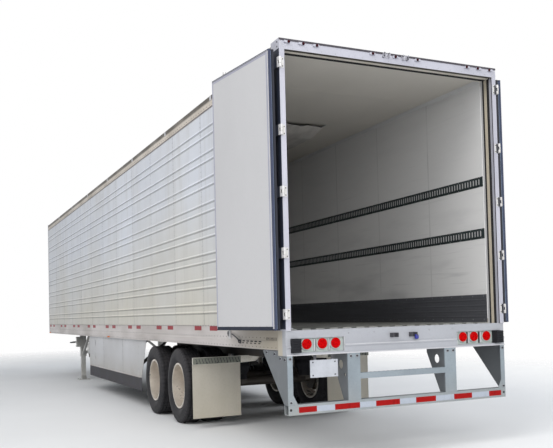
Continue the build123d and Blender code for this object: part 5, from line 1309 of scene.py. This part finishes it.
def guard_details():
    """Tape, bolts and welds of the guard, treads on its step, and the plate's rim and bolts."""
    red, white = Stock(), Stock()
    low, high = GUARD_TAPE_Z
    for y0, y1 in GUARD_RED_Y:
        red.slab((-TAPE_THICKNESS, y0, low), (0, y1, high))
    for (y0, y1), (next0, next1) in zip(GUARD_RED_Y, GUARD_RED_Y[1:]):
        white.slab((-TAPE_THICKNESS, next1, low), (0, y0, high))
    piece("guard_tape_red", red, "tape_red")
    piece("guard_tape_white", white, "tape_white")
    spots = mirrored_spots(list(GUARD_BOLTS))
    fasten("guard_end_holes", mirrored_spots([(GUARD_END_HOLE, BACK)]))
    fasten("guard_washers", spots)
    fasten("guard_bolts", spots)
    welds = Stock()
    for start, end, radius in GUARD_WELDS:
        welds.tube([start, end], radius, 6)
    piece("guard_welds", welds.mirrored(), "guard_steel")
    treads = Stock()
    (x0, x1), (z0, z1) = STEP_TREAD_X, STEP_TREAD_Z
    for k in range(STEP_TREADS["count"]):
        y = STEP_TREADS["first"] + k * STEP_TREADS["pitch"]
        treads.slab((x0, y, z0), (x1, y + STEP_TREADS["width"], z1))
    piece("step_treads", treads, "guard_steel")
    low, high = measured("plate_panel")
    spots = [((low.x, y, low.z + rise), BACK) for y in (low.y + 0.03, high.y - 0.03) for rise in PLATE_BOLT_Z]
    fasten("plate_bolts", spots)
    width, thickness = PLATE_RIM
    x0, x1, y0, y1, z0, z1 = low.x - thickness, low.x, low.y, high.y, low.z, low.z + PLATE_HEIGHT
    rim = Stock().slab((x0, y0, z0), (x1, y1, z0 + width)).slab((x0, y0, z1 - width), (x1, y1, z1))
    rim.slab((x0, y0, z0 + width), (x1, y0 + width, z1 - width))
    rim.slab((x0, y1 - width, z0 + width), (x1, y1, z1 - width))
    piece("plate_rim", rim, "plate_white")


FLAP_INNER_Y = 0.64
CLAMP_RISE = (0.004, 0.086)
CLAMP_BARS = {"count": 15, "pitch": 0.041, "x": (-0.0048, -0.002), "inset": 0.010}
CLAMP_BAR_Y = ((0.012, 0.020), (0.034, 0.042))  # at the foot and at the head of the first bar
FLAP_STRIP = 0.022
FLAP_HEM = 0.014


def flap_details():
    """A clamp plate with raised slanting bars, its bolts, and a weighted strip along the flap's foot."""
    low, high = measured("mud_flaps")
    hang_low = measured("flap_hangers")[0]
    back, y0, y1 = hang_low.x, FLAP_INNER_Y, high.y
    z0, z1 = (hang_low.z + rise for rise in CLAMP_RISE)
    plate = Stock().slab((back - 0.003, y0, z0), (back, y1, z1))
    piece("flap_clamps", plate.mirrored(), "clamp_grey", bevel=0.001)
    foot, head = z0 + CLAMP_BARS["inset"], z1 - CLAMP_BARS["inset"]
    (a, b), (c, d) = CLAMP_BAR_Y
    outline = [(y0 + a, foot), (y0 + b, foot), (y0 + d, head), (y0 + c, head)]
    bar = Stock().prism(outline, "x", *(back + depth for depth in CLAMP_BARS["x"]))
    bars = rows(bar, CLAMP_BARS["count"], (0, CLAMP_BARS["pitch"], 0), "bolt_dark")
    seat_both("flap_clamp_bars", bars, "bolt_dark")
    spots = line((back - 0.003, y0 + 0.05, z0 + 0.012), (back - 0.003, y1 - 0.05, z0 + 0.012), 5, BACK)
    fasten("flap_bolts", mirrored_spots(spots))
    strip = Stock()
    strip.slab((low.x - 0.003, y0, low.z), (low.x, y1, low.z + FLAP_STRIP))
    strip.slab((low.x - 0.002, y0, low.z + FLAP_STRIP), (low.x, y0 + FLAP_HEM, hang_low.z))
    strip.slab((low.x - 0.002, y1 - FLAP_HEM, low.z + FLAP_STRIP), (low.x, y1, hang_low.z))
    piece("flap_edges", strip.mirrored(), "flap_plastic", bevel=0.0008)


# Doors, drawn shut on the left

DOOR_Y = (0.018, POST_INNER - 0.021)
DOOR_Z = (1.301, 3.954)
DOOR_DEPTH = 0.072
TRIM_PROUD = 0.0006
HINGE_SHARES = (0, 0.242, 0.485, 0.73, 1)
HINGE_LOW = measured("frame_hinges")[0].z + 0.05
HINGE_HIGH = measured("frame_hinges")[1].z - 0.05
HINGE_BOLT_Y = (HALF - 0.014, HALF - 0.032)
HINGE_BOLT_RISE = 0.034
STRAP_BOLT_RISE = 0.03
GUIDE_BOLT_Y = 0.026
HINGE_Z = [HINGE_LOW + share * (HINGE_HIGH - HINGE_LOW) for share in HINGE_SHARES]
ROD_Y = 0.113
ROD_GUIDE_Z = [1.42 + k * 0.8133 for k in range(4)]
TRIM_INSET = 0.004
TRIM_SUNK = 0.0005
SWEEP_X = 0.046
STRAP_BOLT_X, GUIDE_BOLT_X = -0.008, -0.030
TRIM_WIDTH = 0.026
SKIN_EDGE_WIDTH = 0.042
STRAP_BOLT_Y = (1.06, 1.10, 1.14)
HANDLE_Z = 2.010
HANDLE_END_Y = ROD_Y + 0.46
GRIP_RADIUS = 0.017
# Painted highlight along each seal: where it lies, and its width.
SHINE_X = (0.0345, 0.0455)  # the bright line along each seal
SHINE_OFF = (-0.0075, 0.0035)
SHINE_WIDTH = 0.004
DOOR_SCREWS = (18, 8)  # down each side, along the top and the foot


def edge_frame(x0, x1, y, z, width):
    """Three strips at the top and sides of a panel's face, with mitred corners."""
    (y0, y1), (z0, z1), w = y, z, width
    stock = Stock()
    for outline in ([(y0, z1), (y1, z1), (y1 - w, z1 - w), (y0 + w, z1 - w)],
                    [(y0, z0), (y0 + w, z0), (y0 + w, z1 - w), (y0, z1)],
                    [(y1, z0), (y1 - w, z0), (y1 - w, z1 - w), (y1, z1)]):
        stock.prism(outline, "x", x0, x1)
    return stock


def door_details(hand):
    """Trim, sweep, screws, hinge and guide bolts, the handle's grip and a painted highlight along the seal."""
    body = f"swing_door_{hand}"
    inner, proud = DOOR_DEPTH, DOOR_DEPTH + TRIM_PROUD
    y, z = ((low + TRIM_INSET, high - TRIM_INSET) for low, high in (DOOR_Y, DOOR_Z))
    piece(f"door_trim_{hand}", edge_frame(inner - TRIM_SUNK, proud, y, z, TRIM_WIDTH), "door_trim", body)
    lines = Stock().slab((inner - TRIM_SUNK, y[0], z[1] - 0.005), (proud + 0.0003, y[1], z[1]))
    piece(f"door_edges_{hand}", lines, "dark_line_grey", body)
    sweep = Stock().slab((SWEEP_X, DOOR_Y[0] + 0.010, SILL_Z[1] + 0.006),
                         (proud + 0.0004, DOOR_Y[1] - 0.010, DOOR_Z[0] + 0.022))
    piece(f"door_sweep_{hand}", sweep, "navy_rubber_and_gap_shade", body)
    spots = []
    upright, across = DOOR_SCREWS
    ends_y, ends_z = ((low + TRIM_WIDTH, high - TRIM_WIDTH) for low, high in (DOOR_Y, DOOR_Z))
    for x, facing in ((proud, AHEAD), (-TRIM_PROUD, BACK)):
        for end in ends_y:
            spots += line((x, end, ends_z[0]), (x, end, ends_z[1]), upright, facing)
        for end in ends_z:
            spots += line((x, ends_y[0] + 0.1, end), (x, ends_y[1] - 0.1, end), across, facing)
    fasten("door_screws", spots, f"door_screws_{hand}", body)
    skin_edge = edge_frame(-TRIM_PROUD, TRIM_SUNK, y, z, SKIN_EDGE_WIDTH)
    piece(f"door_skin_edge_{hand}", skin_edge, "frame_steel", body)
    spots = []
    for z in HINGE_Z:
        spots += [((STRAP_BOLT_X, y, z + dz), BACK) for y in STRAP_BOLT_Y
                  for dz in (-STRAP_BOLT_RISE, STRAP_BOLT_RISE)]
    for z in ROD_GUIDE_Z:
        spots += [((GUIDE_BOLT_X, ROD_Y + dy, z), BACK) for dy in (-GUIDE_BOLT_Y, GUIDE_BOLT_Y)]
    fasten("door_bolts", spots, f"door_bolts_{hand}", body)
    path = [(-0.030, HANDLE_END_Y - 0.17, HANDLE_Z), (-0.031, HANDLE_END_Y - 0.02, HANDLE_Z)]
    piece(f"handle_grip_{hand}", Stock().tube(path, GRIP_RADIUS, 10), "black_rubber", body)
    # A painted highlight along the seal's bulb.
    shine = Stock()
    x0, x1 = SHINE_X
    for end, off in enumerate(SHINE_OFF):
        y, z = DOOR_Y[end] + off, DOOR_Z[end] + off
        shine.slab((x0, y, DOOR_Z[0]), (x1, y + SHINE_WIDTH, DOOR_Z[1]))
        shine.slab((x0, DOOR_Y[0], z), (x1, DOOR_Y[1], z + SHINE_WIDTH))
    piece(f"seal_painted_highlight_{hand}", shine, "seal_shine", body)


def hinge_details():
    """Bolts of the hinge leaves on the posts."""
    spots = []
    for z in HINGE_Z:
        spots += [((-0.005, y, z + dz), BACK) for y in HINGE_BOLT_Y
                  for dz in (-HINGE_BOLT_RISE, HINGE_BOLT_RISE)]
    fasten("hinge_bolts", mirrored_spots(spots))


HOOK_Y = HALF + 0.012
STAPLE_X = 1.225
STAPLE = (  # y off the hook's line, z
    (-0.009, 1.172), (0.010, 1.176), (0.013, 1.160), (0.008, 1.146), (-0.009, 1.146))
HOOK_PATH = (  # x, y off the hook's line, z
    (1.225, 0.004, 1.166), (1.30, 0.003, 1.196), (1.40, 0.003, 1.224), (1.50, 0.003, 1.243),
    (1.535, 0.004, 1.266), (1.560, 0.006, 1.262), (1.566, 0.006, 1.236), (1.548, 0.006, 1.214),
    (1.524, 0.005, 1.220))
HOOK_EYE = {"radii": (0.012, 0.024), "places": (HOOK_Y - 0.004, HOOK_Y + 0.010), "centre": (1.543, 0, 1.244)}


def holdback():
    """The hook that holds the left door open, with its eye, on a staple and plate on the rail."""
    bracket = Stock().slab((1.200, HALF, 1.135), (1.250, HALF + 0.005, 1.177))
    bracket.tube([(STAPLE_X, HOOK_Y + off, z) for off, z in STAPLE], 0.0050, 8)
    hook = Stock().tube([(x, HOOK_Y + off, z) for x, off, z in HOOK_PATH], 0.0075, 8)
    hook.hoop(**HOOK_EYE, axis="y", steps=14)
    piece("holdback_bracket", bracket, "bolt_dark")
    piece("holdback_hook", hook, "bolt_dark")


# Inside the box

TRACK_SLOT = (0.064, 0.015)
TRACK_SLOT_PITCH = 0.0508
TRACK_HALF = 0.056
TRACK_SLOT_Y = LINER_Y - 0.0102
TRACK_SLOT_DEPTH = 0.0014
TRACK_RIVET_Z = (-0.049, 0.049)
INSIDE_RIVETS = 80
JOINT_HALF = 0.012
COVE = ((0, 0.035), (0.004, 0.035), (0.030, 0.003), (0.030, 0), (0, 0))  # in from the liner, drop
DRAIN = ((0.30, 1.085), (0.46, 1.215), 0.010)  # x and y at two corners, height
DRAIN_LID = ((0.315, 1.10), (0.445, 1.20), 0.014)


def inside_details():
    """Slots along the cargo tracks, rivets on the kick plates, joints of the liner and the ceiling."""
    low, high = measured("cargo_tracks")
    heights = (low.z + TRACK_HALF, high.z - TRACK_HALF)
    count = int((SIDE_X[1] - SIDE_X[0] - 0.1) / TRACK_SLOT_PITCH)
    slots = []
    for z in heights:
        slot = Stock().pill((SIDE_X[0] + 0.06, z, TRACK_SLOT_Y), *TRACK_SLOT, "y", "b", TRACK_SLOT_DEPTH)
        slots.append(rows(slot, count, (TRACK_SLOT_PITCH, 0, 0), "liner"))
    seat_both("track_slots", joined("track_slots", slots), "liner")
    kick = measured("scuff_bands")
    rivet_rows = [(LINER_Y - 0.006, z) for z in (kick[0].z + 0.03, kick[1].z - 0.02)]
    rivet_rows += [(LINER_Y - 0.003, z + rise) for z in heights for rise in TRACK_RIVET_Z]
    spots = []
    for y, z in rivet_rows:
        spots += line((0.25, y, z), (SIDE_X[1] - 0.05, y, z), INSIDE_RIVETS, IN)
    fasten("inside_rivets", mirrored_spots(spots))
    joints, across = Stock(), Stock()
    for x in SEAM_X:
        x0, x1 = x - JOINT_HALF, x + JOINT_HALF
        joints.slab((x0, LINER_Y - 0.0003, kick[1].z), (x1, LINER_Y, CEILING_Z - 0.03))
        across.slab((x0, -LINER_Y + 0.03, CEILING_Z - 0.0012), (x1, LINER_Y - 0.03, CEILING_Z))
    joints.prism([(LINER_Y - y, CEILING_Z - z) for y, z in COVE], "x", *SIDE_X)
    piece("liner_joints", joints.mirrored(), "joint_strip")
    piece("ceiling_joints", across, "roof_skin")
    drain = Stock()
    foot = FLOOR_Z
    for start, end, height in (DRAIN, DRAIN_LID):
        drain.slab((*start, foot), (*end, FLOOR_Z + height))
        foot = FLOOR_Z + height
    piece("drain_cover", drain, "plate_white", bevel=0.002)


CHUTE_HALF = 0.560
CHUTE_FOOT = 0.4815
CHUTE_DEEP = 0.130
CHUTE_CLOTH = 0.004
CHUTE_MOUTH = 0.42
CHUTE_LIFT = 0.86
CHUTE_SHADOW_RADIUS = 0.005
CHUTE_STEPS = (150, 34)  # along and across
CHUTE_TOP = CEILING_Z - 0.003
CHUTE_WAVES = ((0.006, 9.0, 5), (0.004, 23.0, -9), (0.003, 0, 41))  # size, rate along, rate across
MOUTH_DROOP = ((0.016, 6.5, 0.6), (0.010, 15, 0))  # size, rate across, start
MOUTH_FOLDS = ((0.010, 17, 1.1), (0.006, 39, 0))
MOUTH_REACH = 0.35
CHUTE_CROWN = 0.010
HEM_HALF = 0.012


def swell(y, waves):
    """The sum of some waves across the duct."""
    return sum(size * math.sin(rate * y + start) for size, rate, start in waves)


def air_chute():
    """The cloth duct under the ceiling. It sags between its hems and lifts towards its rear mouth."""
    low, high = measured("air_chute")
    steps_x, steps_s = CHUTE_STEPS
    flank = math.hypot(CHUTE_HALF - CHUTE_FOOT, CHUTE_DEEP)
    girth = 2 * flank + 2 * CHUTE_FOOT
    top = CHUTE_TOP
    points, faces = [], []
    for i in range(steps_x + 1):
        x = low.x + (high.x - low.x) * (i / steps_x) ** 1.25
        mouth = math.exp(-((x - low.x) / MOUTH_REACH) ** 2)
        rise = max(0.0, 1 - (x - low.x) / CHUTE_MOUTH) ** 2 * CHUTE_LIFT
        for k in range(steps_s + 1):
            s = k / steps_s * girth
            if s < flank:
                y, z = -CHUTE_HALF + (CHUTE_HALF - CHUTE_FOOT) * s / flank, top - CHUTE_DEEP * s / flank
            elif s > girth - flank:
                rest = (girth - s) / flank
                y, z = CHUTE_HALF - (CHUTE_HALF - CHUTE_FOOT) * rest, top - CHUTE_DEEP * rest
            else:
                y, z = -CHUTE_FOOT + s - flank, top - CHUTE_DEEP
            share = min(s, girth - s) / (girth / 2)
            loose = min(1, share * 3)
            wave = sum(size * math.sin(p * x + q * y) for size, p, q in CHUTE_WAVES)
            droop = mouth * swell(y, MOUTH_DROOP)
            fold = rise * swell(y, MOUTH_FOLDS) * loose
            lifted = z + (wave + droop * (1 - rise)) * loose + CHUTE_CROWN * share
            raised = lifted + (top - 0.012 - lifted) * rise + fold
            points.append((x, y + wave * 0.4 * share, min(top, raised)))
    width = steps_s + 1
    for i in range(steps_x):
        for k in range(steps_s):
            a = i * width + k
            faces.append([a, a + 1, a + width + 1, a + width])
    mesh = bpy.data.meshes.new("air_chute_cloth")
    mesh.from_pydata(points, [], faces)
    cloth = seat("air_chute_cloth", mesh, "duct_cloth", "trailer")
    thick = cloth.modifiers.new("cloth", "SOLIDIFY")
    thick.thickness = CHUTE_CLOTH
    thick.offset = 0
    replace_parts(cloth, "air_chute")
    # A dark tube along the duct's mouth: painted shadow of the gap between the ceiling and the cloth.
    rim = [(x - 0.002, y, z - 0.002) for x, y, z in points[3:steps_s - 2]]
    piece("chute_mouth_shadow", Stock().tube(rim, CHUTE_SHADOW_RADIUS, 6), "dark_gap")
    hems = Stock()
    for y in (-CHUTE_HALF, CHUTE_HALF):
        hems.slab((low.x, y - HEM_HALF, CHUTE_TOP), (high.x, y + HEM_HALF, CEILING_Z))
    piece("chute_rails", hems, "bolt_zinc")


# Wheels and tyres, drawn about the wheel's centre

TYRE_MIDDLES = (0.165, -0.165)
TREAD_SECTORS = 52
TYRE_LINE = (  # radius and half width, from the bead to the shoulder
    (0.2925, 0.100), (0.300, 0.1025), (0.314, 0.1025), (0.330, 0.116), (0.352, 0.130), (0.375, 0.138),
    (0.395, 0.1385), (0.405, 0.1400), (0.412, 0.1375), (0.440, 0.134), (0.464, 0.129), (0.482, 0.1245),
    (0.494, 0.1195), (0.501, 0.1125))
GROOVES_AT = ((0.084, 0.074), (0.034, 0.024))  # outer and inner edge of each groove, from the middle
GROOVE_DEPTH = 0.013
TREAD_RADIUS = 0.5045
TREAD_EDGE = 0.104
TREAD_SLANT = 0.05
SIPES = ((0.0, 0), (0.40, 0), (0.44, 1), (0.56, 1), (0.60, 0), (1.0, 0))  # share of the pitch, sipe or not
SIPE_DEPTH = 0.006
SHOULDER_NOTCH = (0.47, 0.004)  # from which radius, depth


def tyre_sector():
    """One pitch of the tread with its sidewalls, as a thin wedge of the whole ring."""
    half = [(radius, side, 0) for radius, side in TYRE_LINE] + [(TREAD_RADIUS, TREAD_EDGE, 1)]
    deep = TREAD_RADIUS - GROOVE_DEPTH
    for outer, inner in GROOVES_AT:
        half += [(TREAD_RADIUS, outer, 1), (deep, outer - 0.001, 0)]
        half += [(deep, inner + 0.001, 0), (TREAD_RADIUS, inner, 1)]
    whole = half + [(radius, -side, kind) for radius, side, kind in reversed(half)]
    pitch = math.tau / TREAD_SECTORS
    notch_from, notch = SHOULDER_NOTCH
    stock = Stock()
    for share, sipe in SIPES:
        for radius, side, kind in whole:
            sunk = radius - (SIPE_DEPTH if sipe and kind else 0)
            if sipe and not kind and radius > notch_from:
                sunk = radius - notch
            angle = (share + TREAD_SLANT * (1 if side > 0 else -1) * kind) * pitch
            stock.points.append((sunk * math.sin(angle), side, sunk * math.cos(angle)))
    width = len(whole)
    for i in range(len(SIPES) - 1):
        first = i * width
        for a in range(first, first + width - 1):
            stock.faces.append([a, a + 1, a + width + 1, a + width])
        stock.faces.append([first + width - 1, first, first + width, first + 2 * width - 1])
    return stock


NUT_CIRCLE = 0.1429
CAP_CIRCLE = 0.055
WHEEL_RINGS = (  # profile, radius of the circle, sides, count
    (((0.0185, 0.0125), (0.0185, 0.030), (0.0150, 0.034), (0, 0.034)), NUT_CIRCLE, 6, 10),
    (((0.0105, 0.033), (0.0105, 0.050), (0.008, 0.053), (0, 0.053)), NUT_CIRCLE, 8, 10),
    (((0.0225, 0.0118), (0.0225, 0.0150), (0.0185, 0.0165), (0, 0.0165)), NUT_CIRCLE, 12, 10),
    (((0.008, 0.1045), (0.008, 0.110), (0.006, 0.1115), (0, 0.1115)), CAP_CIRCLE, 6, 6))
HUB_CAP = ((0.030, 0.1045), (0.030, 0.111), (0.024, 0.117), (0.010, 0.119), (0, 0.119))
HUB_FLANGE = ((0.0855, 0.046), (0.0905, 0.048), (0.0905, 0.056), (0.0855, 0.058))
VALVE = ((0.0, 0.060, 0.262), (0.0, 0.085, 0.258), (0.0, 0.115, 0.252))


def wheels():
    """Grooved tyres, and the nuts, hub cap and valve of each pair of wheels."""
    around = {"Count": TREAD_SECTORS, "Centre": (0, 0, 0), "Axis": OUT}
    one = grown("tyre", tyre_sector().mesh("tyre"), RINGS, around, "tyre")
    shape = bmesh.new()
    shape.from_mesh(one)
    bmesh.ops.recalc_face_normals(shape, faces=shape.faces)
    shape.to_mesh(one)
    shape.free()
    for place, side in WHEELS:
        body = f"twin_wheel_{place}_{side}"
        pair = []
        for middle in TYRE_MIDDLES:
            copy = one.copy()
            copy.transform(Matrix.Translation((0, middle, 0)))
            pair.append(copy)
        tread = seat(f"tyre_pair_{place}_{side}", joined("pair", pair), "tyre", body)
        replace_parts(tread, f"tyres_{place}_{side}")
        nuts = [ring(Stock().lathe(profile, (0, 0, circle), "y", sides), count, (0, 0, 0), OUT, "bolt_zinc")
                for profile, circle, sides, count in WHEEL_RINGS]
        seat(f"wheel_nuts_{place}_{side}", joined("nuts", nuts), "bolt_zinc", body)
        cap = Stock().lathe(HUB_CAP, (0, 0, 0), "y", 18)
        cap.lathe(HUB_FLANGE, (0, 0, 0), "y", 28, closed=True)
        piece(f"hub_cap_{place}_{side}", cap.tube(VALVE, 0.0045, 6), "bolt_zinc", body)


# Underside, skirts, landing gear and nose

AXLE_X = [joint["pos_m"][0] - REAR_X for joint in frame["joints"]
          if joint["name"] in ("wheel_spin_rear_left", "wheel_spin_front_left")]
AXLE_Z = 0.505
CHAMBER = {"radii": (0.0815, 0.089), "x": 0.150, "y": (0.300, 0.360), "z": AXLE_Z + 0.040, "half": 0.007}
SPRING = {"radii": (0.070, 0.088), "places": (0.560, 0.570), "x": -0.330, "y": 0.480}
SPRING_TOP = ((-0.435, 0.395, 0.893), (-0.225, 0.565, 0.9045))  # x from the axle, y, z
ARM_BOLTS = [(dx, 0.480 + dy, 0.659, UP) for dx in (-0.100, 0.025) for dy in (-0.024, 0.024)]
ARM_PIVOT = (0.490, 0.556, 0.640, OUT)


def suspension_details():
    """Clamp bands on the brake chambers, plates and bolts of the springs and arms."""
    bands, plates, spots = Stock(), Stock(), []
    for axle_x in AXLE_X:
        for y in CHAMBER["y"]:
            places = (y - CHAMBER["half"], y + CHAMBER["half"])
            bands.hoop(CHAMBER["radii"], places, (axle_x + CHAMBER["x"], 0, CHAMBER["z"]), "y", 24)
        plates.slab(*((axle_x + x, y, z) for x, y, z in SPRING_TOP))
        plates.hoop(SPRING["radii"], SPRING["places"], (axle_x + SPRING["x"], SPRING["y"], 0), "z", 20)
        spots += [((axle_x + x, y, z), facing) for x, y, z, facing in ARM_BOLTS + [ARM_PIVOT]]
    piece("chamber_bands", bands.mirrored(), "bolt_zinc")
    piece("spring_plates", plates.mirrored(), "chassis_steel", bevel=0.001)
    fasten("arm_bolts", mirrored_spots(spots))


SLIDER_PITCH = 0.1524
SLIDER_FACE_Y = 0.525
SLIDER_HOLE = 0.0155
SLIDER_RIM = 0.023


def slider_holes():
    """The row of locking holes along the sliding frame."""
    low, high = measured("slider_frame")
    count = int((high.x - low.x - 0.4) / SLIDER_PITCH)
    first = (low.x + 0.2, SLIDER_FACE_Y, high.z - 0.075)
    rim = Stock().hoop((SLIDER_HOLE, SLIDER_RIM), (0, 0.002), first, "y", 12)
    core = Stock().lathe([(0, 0), (SLIDER_HOLE, 0), (SLIDER_HOLE, 0.001), (0, 0.001)], first, "y", 12)
    for name, stock, finish in (("slider_hole_rims", rim, "chassis_steel"),
                                ("slider_hole_cores", core, "dark_gap")):
        seat_both(name, rows(stock, count, (SLIDER_PITCH, 0, 0), finish), finish)


SKIRT_POST_X = (6.0, 7.2, 8.83, 9.9)
SKIRT_POST_Z = (0.62, 0.98)
SKIRT_RIVETS = (16, 18, 4)  # along the foot, along the top, on each post
SKIRT_SEAM_HALF = 0.0035
SKIRT_SEAM_X = (7.15, 8.80)
SKIRT_CLAMP_X = (0.42, 0.09)  # from the rear end, from the front end


def skirt_details():
    """Rivets, seams and the rubber edge's clamp strip on the side skirts."""
    low, high = measured("skirts")
    y = high.y
    foot, top, post = SKIRT_RIVETS
    spots = line((low.x + 0.45, y, low.z + 0.03), (high.x - 0.10, y, low.z + 0.03), foot, OUT)
    spots += line((low.x + 0.05, y, high.z - 0.03), (high.x - 0.02, y, high.z - 0.03), top, OUT)
    for x in SKIRT_POST_X:
        spots += line((x, y, SKIRT_POST_Z[0]), (x, y, SKIRT_POST_Z[1]), post, OUT)
    fasten("skirt_rivets", mirrored_spots(spots))
    seams = Stock()
    for x in SKIRT_SEAM_X:
        x0, x1 = x - SKIRT_SEAM_HALF, x + SKIRT_SEAM_HALF
        seams.slab((x0, y - 0.001, low.z + 0.004), (x1, y + 0.0004, high.z - 0.002))
    piece("skirt_seams", seams.mirrored(), "dark_gap")
    rear, front = SKIRT_CLAMP_X
    clamp = Stock().slab((low.x + rear, y, low.z - 0.004), (high.x - front, y + 0.003, low.z + 0.018))
    piece("skirt_clamp", clamp.mirrored(), "rail_alloy", bevel=0.0008)


LEG_Y = 0.95
LEG_HALF = 0.0635
LEG_BAND = (0.004, 0.03)  # thickness, height
LEG_BAND_Z = (0.566, 0.74, 1.06)
GEARBOX_Y = LEG_Y + LEG_HALF + 0.0905
GEARBOX_BOLTS = [(dx, dz) for dx in (-0.045, 0.045) for dz in (-0.10, 0.10)]
FOOT_BOLTS = [(dx, dy) for dx in (-0.12, 0.12) for dy in (-0.10, 0.10)]
FOOT_BOLT_Z = 0.014
CRANK_GRIP = ((-0.010, 0.100, 0.016, 12), (-0.012, 0.112, 0.008, 8))  # start, end, radius, sides
CRANK = {"x": -0.316, "y": LEG_Y + LEG_HALF + 0.18, "z": 0.905}


def landing_details():
    """Bands round the legs, bolts of the gearbox and the feet, and the crank's grip."""
    low, high = measured("landing_legs")
    x = (low.x + high.x) / 2
    thick, tall = LEG_BAND
    near, far = LEG_HALF, LEG_HALF + thick
    bands = Stock()
    for z in LEG_BAND_Z:
        for side in (-1, 1):
            bands.slab((x - far, LEG_Y + side * near, z), (x + far, LEG_Y + side * far, z + tall))
            bands.slab((x + side * near, LEG_Y - near, z), (x + side * far, LEG_Y + near, z + tall))
    box = [((x + dx, GEARBOX_Y, CRANK["z"] + dz), OUT) for dx, dz in GEARBOX_BOLTS]
    feet = [((x + dx, LEG_Y + dy, FOOT_BOLT_Z), UP) for dx, dy in FOOT_BOLTS]
    piece("leg_bands", bands.mirrored(), "chassis_alloy", bevel=0.001)
    fasten("leg_bolts", box + mirrored_spots(feet))
    grip = Stock()
    for start, end, radius, sides in CRANK_GRIP:
        grip.tube([(x + CRANK["x"], CRANK["y"] + reach, CRANK["z"]) for reach in (start, end)], radius, sides)
    piece("crank_grip", grip, "bolt_dark")


PIN_CIRCLE = 0.13
COUPLER_FACE_Z = 1.120
COUPLER_ROWS_Y = (-1.15, -0.6, 0.6, 1.15)


def coupler_details():
    """Rivets round the kingpin and along the coupler plate."""
    spots = []
    for k in range(8):
        angle = math.pi * (k + 0.5) / 4
        x, y = PIN_CIRCLE * math.cos(angle) - REAR_X, PIN_CIRCLE * math.sin(angle)
        spots.append(((x, y, COUPLER_FACE_Z), DOWN))
    low, high = measured("coupler")
    for y in COUPLER_ROWS_Y:
        spots += line((low.x + 0.08, y, COUPLER_FACE_Z), (high.x - 0.18, y, COUPLER_FACE_Z), 12, DOWN)
    fasten("coupler_rivets", spots)


FRONT_RIVET_Y = (1.20, 1.235)
FRONT_RIVET_Z = (1.13, 1.35, ROOF_Z - 0.03)
UNIT_WAIST = 0.75
UNIT_SEAM_Y = (-0.70, 0.694)
UNIT_SEAM = 0.006
UNIT_BROW = 0.30
LATCH_X = (-0.19, -0.15)  # from the unit's face
LATCH_Z = (0.25, 0.75)  # from the waist
LATCH_SIZE = (0.014, 0.09)  # depth, height
CORNER_LATCH_Z = (0.15, 0.62)
CORNER_LATCH = 0.075
UNIT_FOOT_X = 0.317
CHAMFER_LATCH = ((-0.0591, -0.0337), (-0.0337, -0.0591), (-0.0238, -0.0492), (-0.0492, -0.0238))
VENTS = {"first": 0.10, "pitch": 0.045, "count": 9, "half": 0.42}
VENT_LINE = ((-0.002, 0), (0.012, 0.006), (0.012, 0.012), (-0.002, 0.030))
FILLER = ((0.045, 0.0), (0.045, 0.020), (0.052, 0.024), (0.052, 0.040), (0.030, 0.046), (0, 0.046))
FILLER_RISE = 0.005 + 0.54 - 0.030


def front_details():
    """Rivets of the front wall, the unit's seams, latches, vents and screws, and the tank's cap and plug."""
    x = NOSE_X
    spots = []
    for y in FRONT_RIVET_Y:
        spots += line((x, y, 1.15), (x, y, ROOF_Z - 0.04), 40, AHEAD)
    for z in FRONT_RIVET_Z:
        spots += line((x, 0.0, z), (x, 1.18, z), 14, AHEAD)
    fasten("front_rivets", mirrored_spots(spots))
    low, high = measured("unit_housing")
    face, half = high.x, high.y
    waist, brow = low.z + UNIT_WAIST, high.z - UNIT_BROW
    seams, latches = Stock(), Stock()
    for z in (waist + 0.03, brow):
        seams.slab((face - 0.001, -half + 0.10, z), (face + 0.0003, half - 0.10, z + UNIT_SEAM))
        for side in (-1, 1):
            inner, outer = side * (half - 0.001), side * (half + 0.0012)
            seams.slab((x + 0.04, inner, z), (face - 0.12, outer, z + UNIT_SEAM))
    for y in UNIT_SEAM_Y:
        seams.slab((face - 0.001, y, waist + 0.036), (face + 0.0003, y + UNIT_SEAM, high.z - 0.07))
    (x0, x1), (deep, tall) = LATCH_X, LATCH_SIZE
    for side in (-1, 1):
        for z in (waist + rise for rise in LATCH_Z):
            latches.slab((face + x0, side * half, z), (face + x1, side * (half + deep), z + tall))
        plan = [(face + a, side * (half + b)) for a, b in CHAMFER_LATCH]
        for z in (*(waist + rise for rise in CORNER_LATCH_Z), high.z - 0.16):
            latches.prism(plan, "z", z, z + CORNER_LATCH)
    piece("unit_seams", seams, "dark_gap")
    piece("unit_latches", latches, "unit_dark", bevel=0.004)
    foot = low.x + UNIT_FOOT_X
    vents = Stock()
    for k in range(VENTS["count"]):
        z = low.z + VENTS["first"] + k * VENTS["pitch"]
        vents.prism([(foot + a, z + b) for a, b in VENT_LINE], "y", -VENTS["half"], VENTS["half"])
    piece("unit_vents", vents, "unit_dark")
    spots = line((foot, -0.9, low.z + 0.05), (foot, 0.9, low.z + 0.05), 9, AHEAD)
    spots += line((face, -0.62, high.z - 0.06), (face, 0.62, high.z - 0.06), 7, AHEAD)
    fasten("unit_screws", spots)
    low, high = measured("fuel_tank")
    middle = (low + high) / 2
    cap = Stock().lathe(FILLER, (middle.x, middle.y + 0.10, low.z + FILLER_RISE), "z", 16)
    plug = [(0.018, low.x - 0.004), (0.018, low.x + 0.002), (0, low.x + 0.002)]
    cap.lathe(plug, (0, middle.y - 0.12, low.z + 0.10), "x", 10)
    piece("tank_cap", cap, "bolt_dark")


PIECES = (
    side_seams, rail_rivets, rail_slots, side_tape, roof_top, top_rail_clips, frame_trim, marker_domes,
    sill_lamps, sill_details, guard_details, flap_details, hinge_details, holdback, inside_details,
    air_chute, wheels, suspension_details, slider_holes, skirt_details, landing_details, coupler_details,
    front_details)

photo_camera()
studio()
dress_frame()
ground()
for make in PIECES:
    make()
for hand in ("left", "right"):
    door_details(hand)
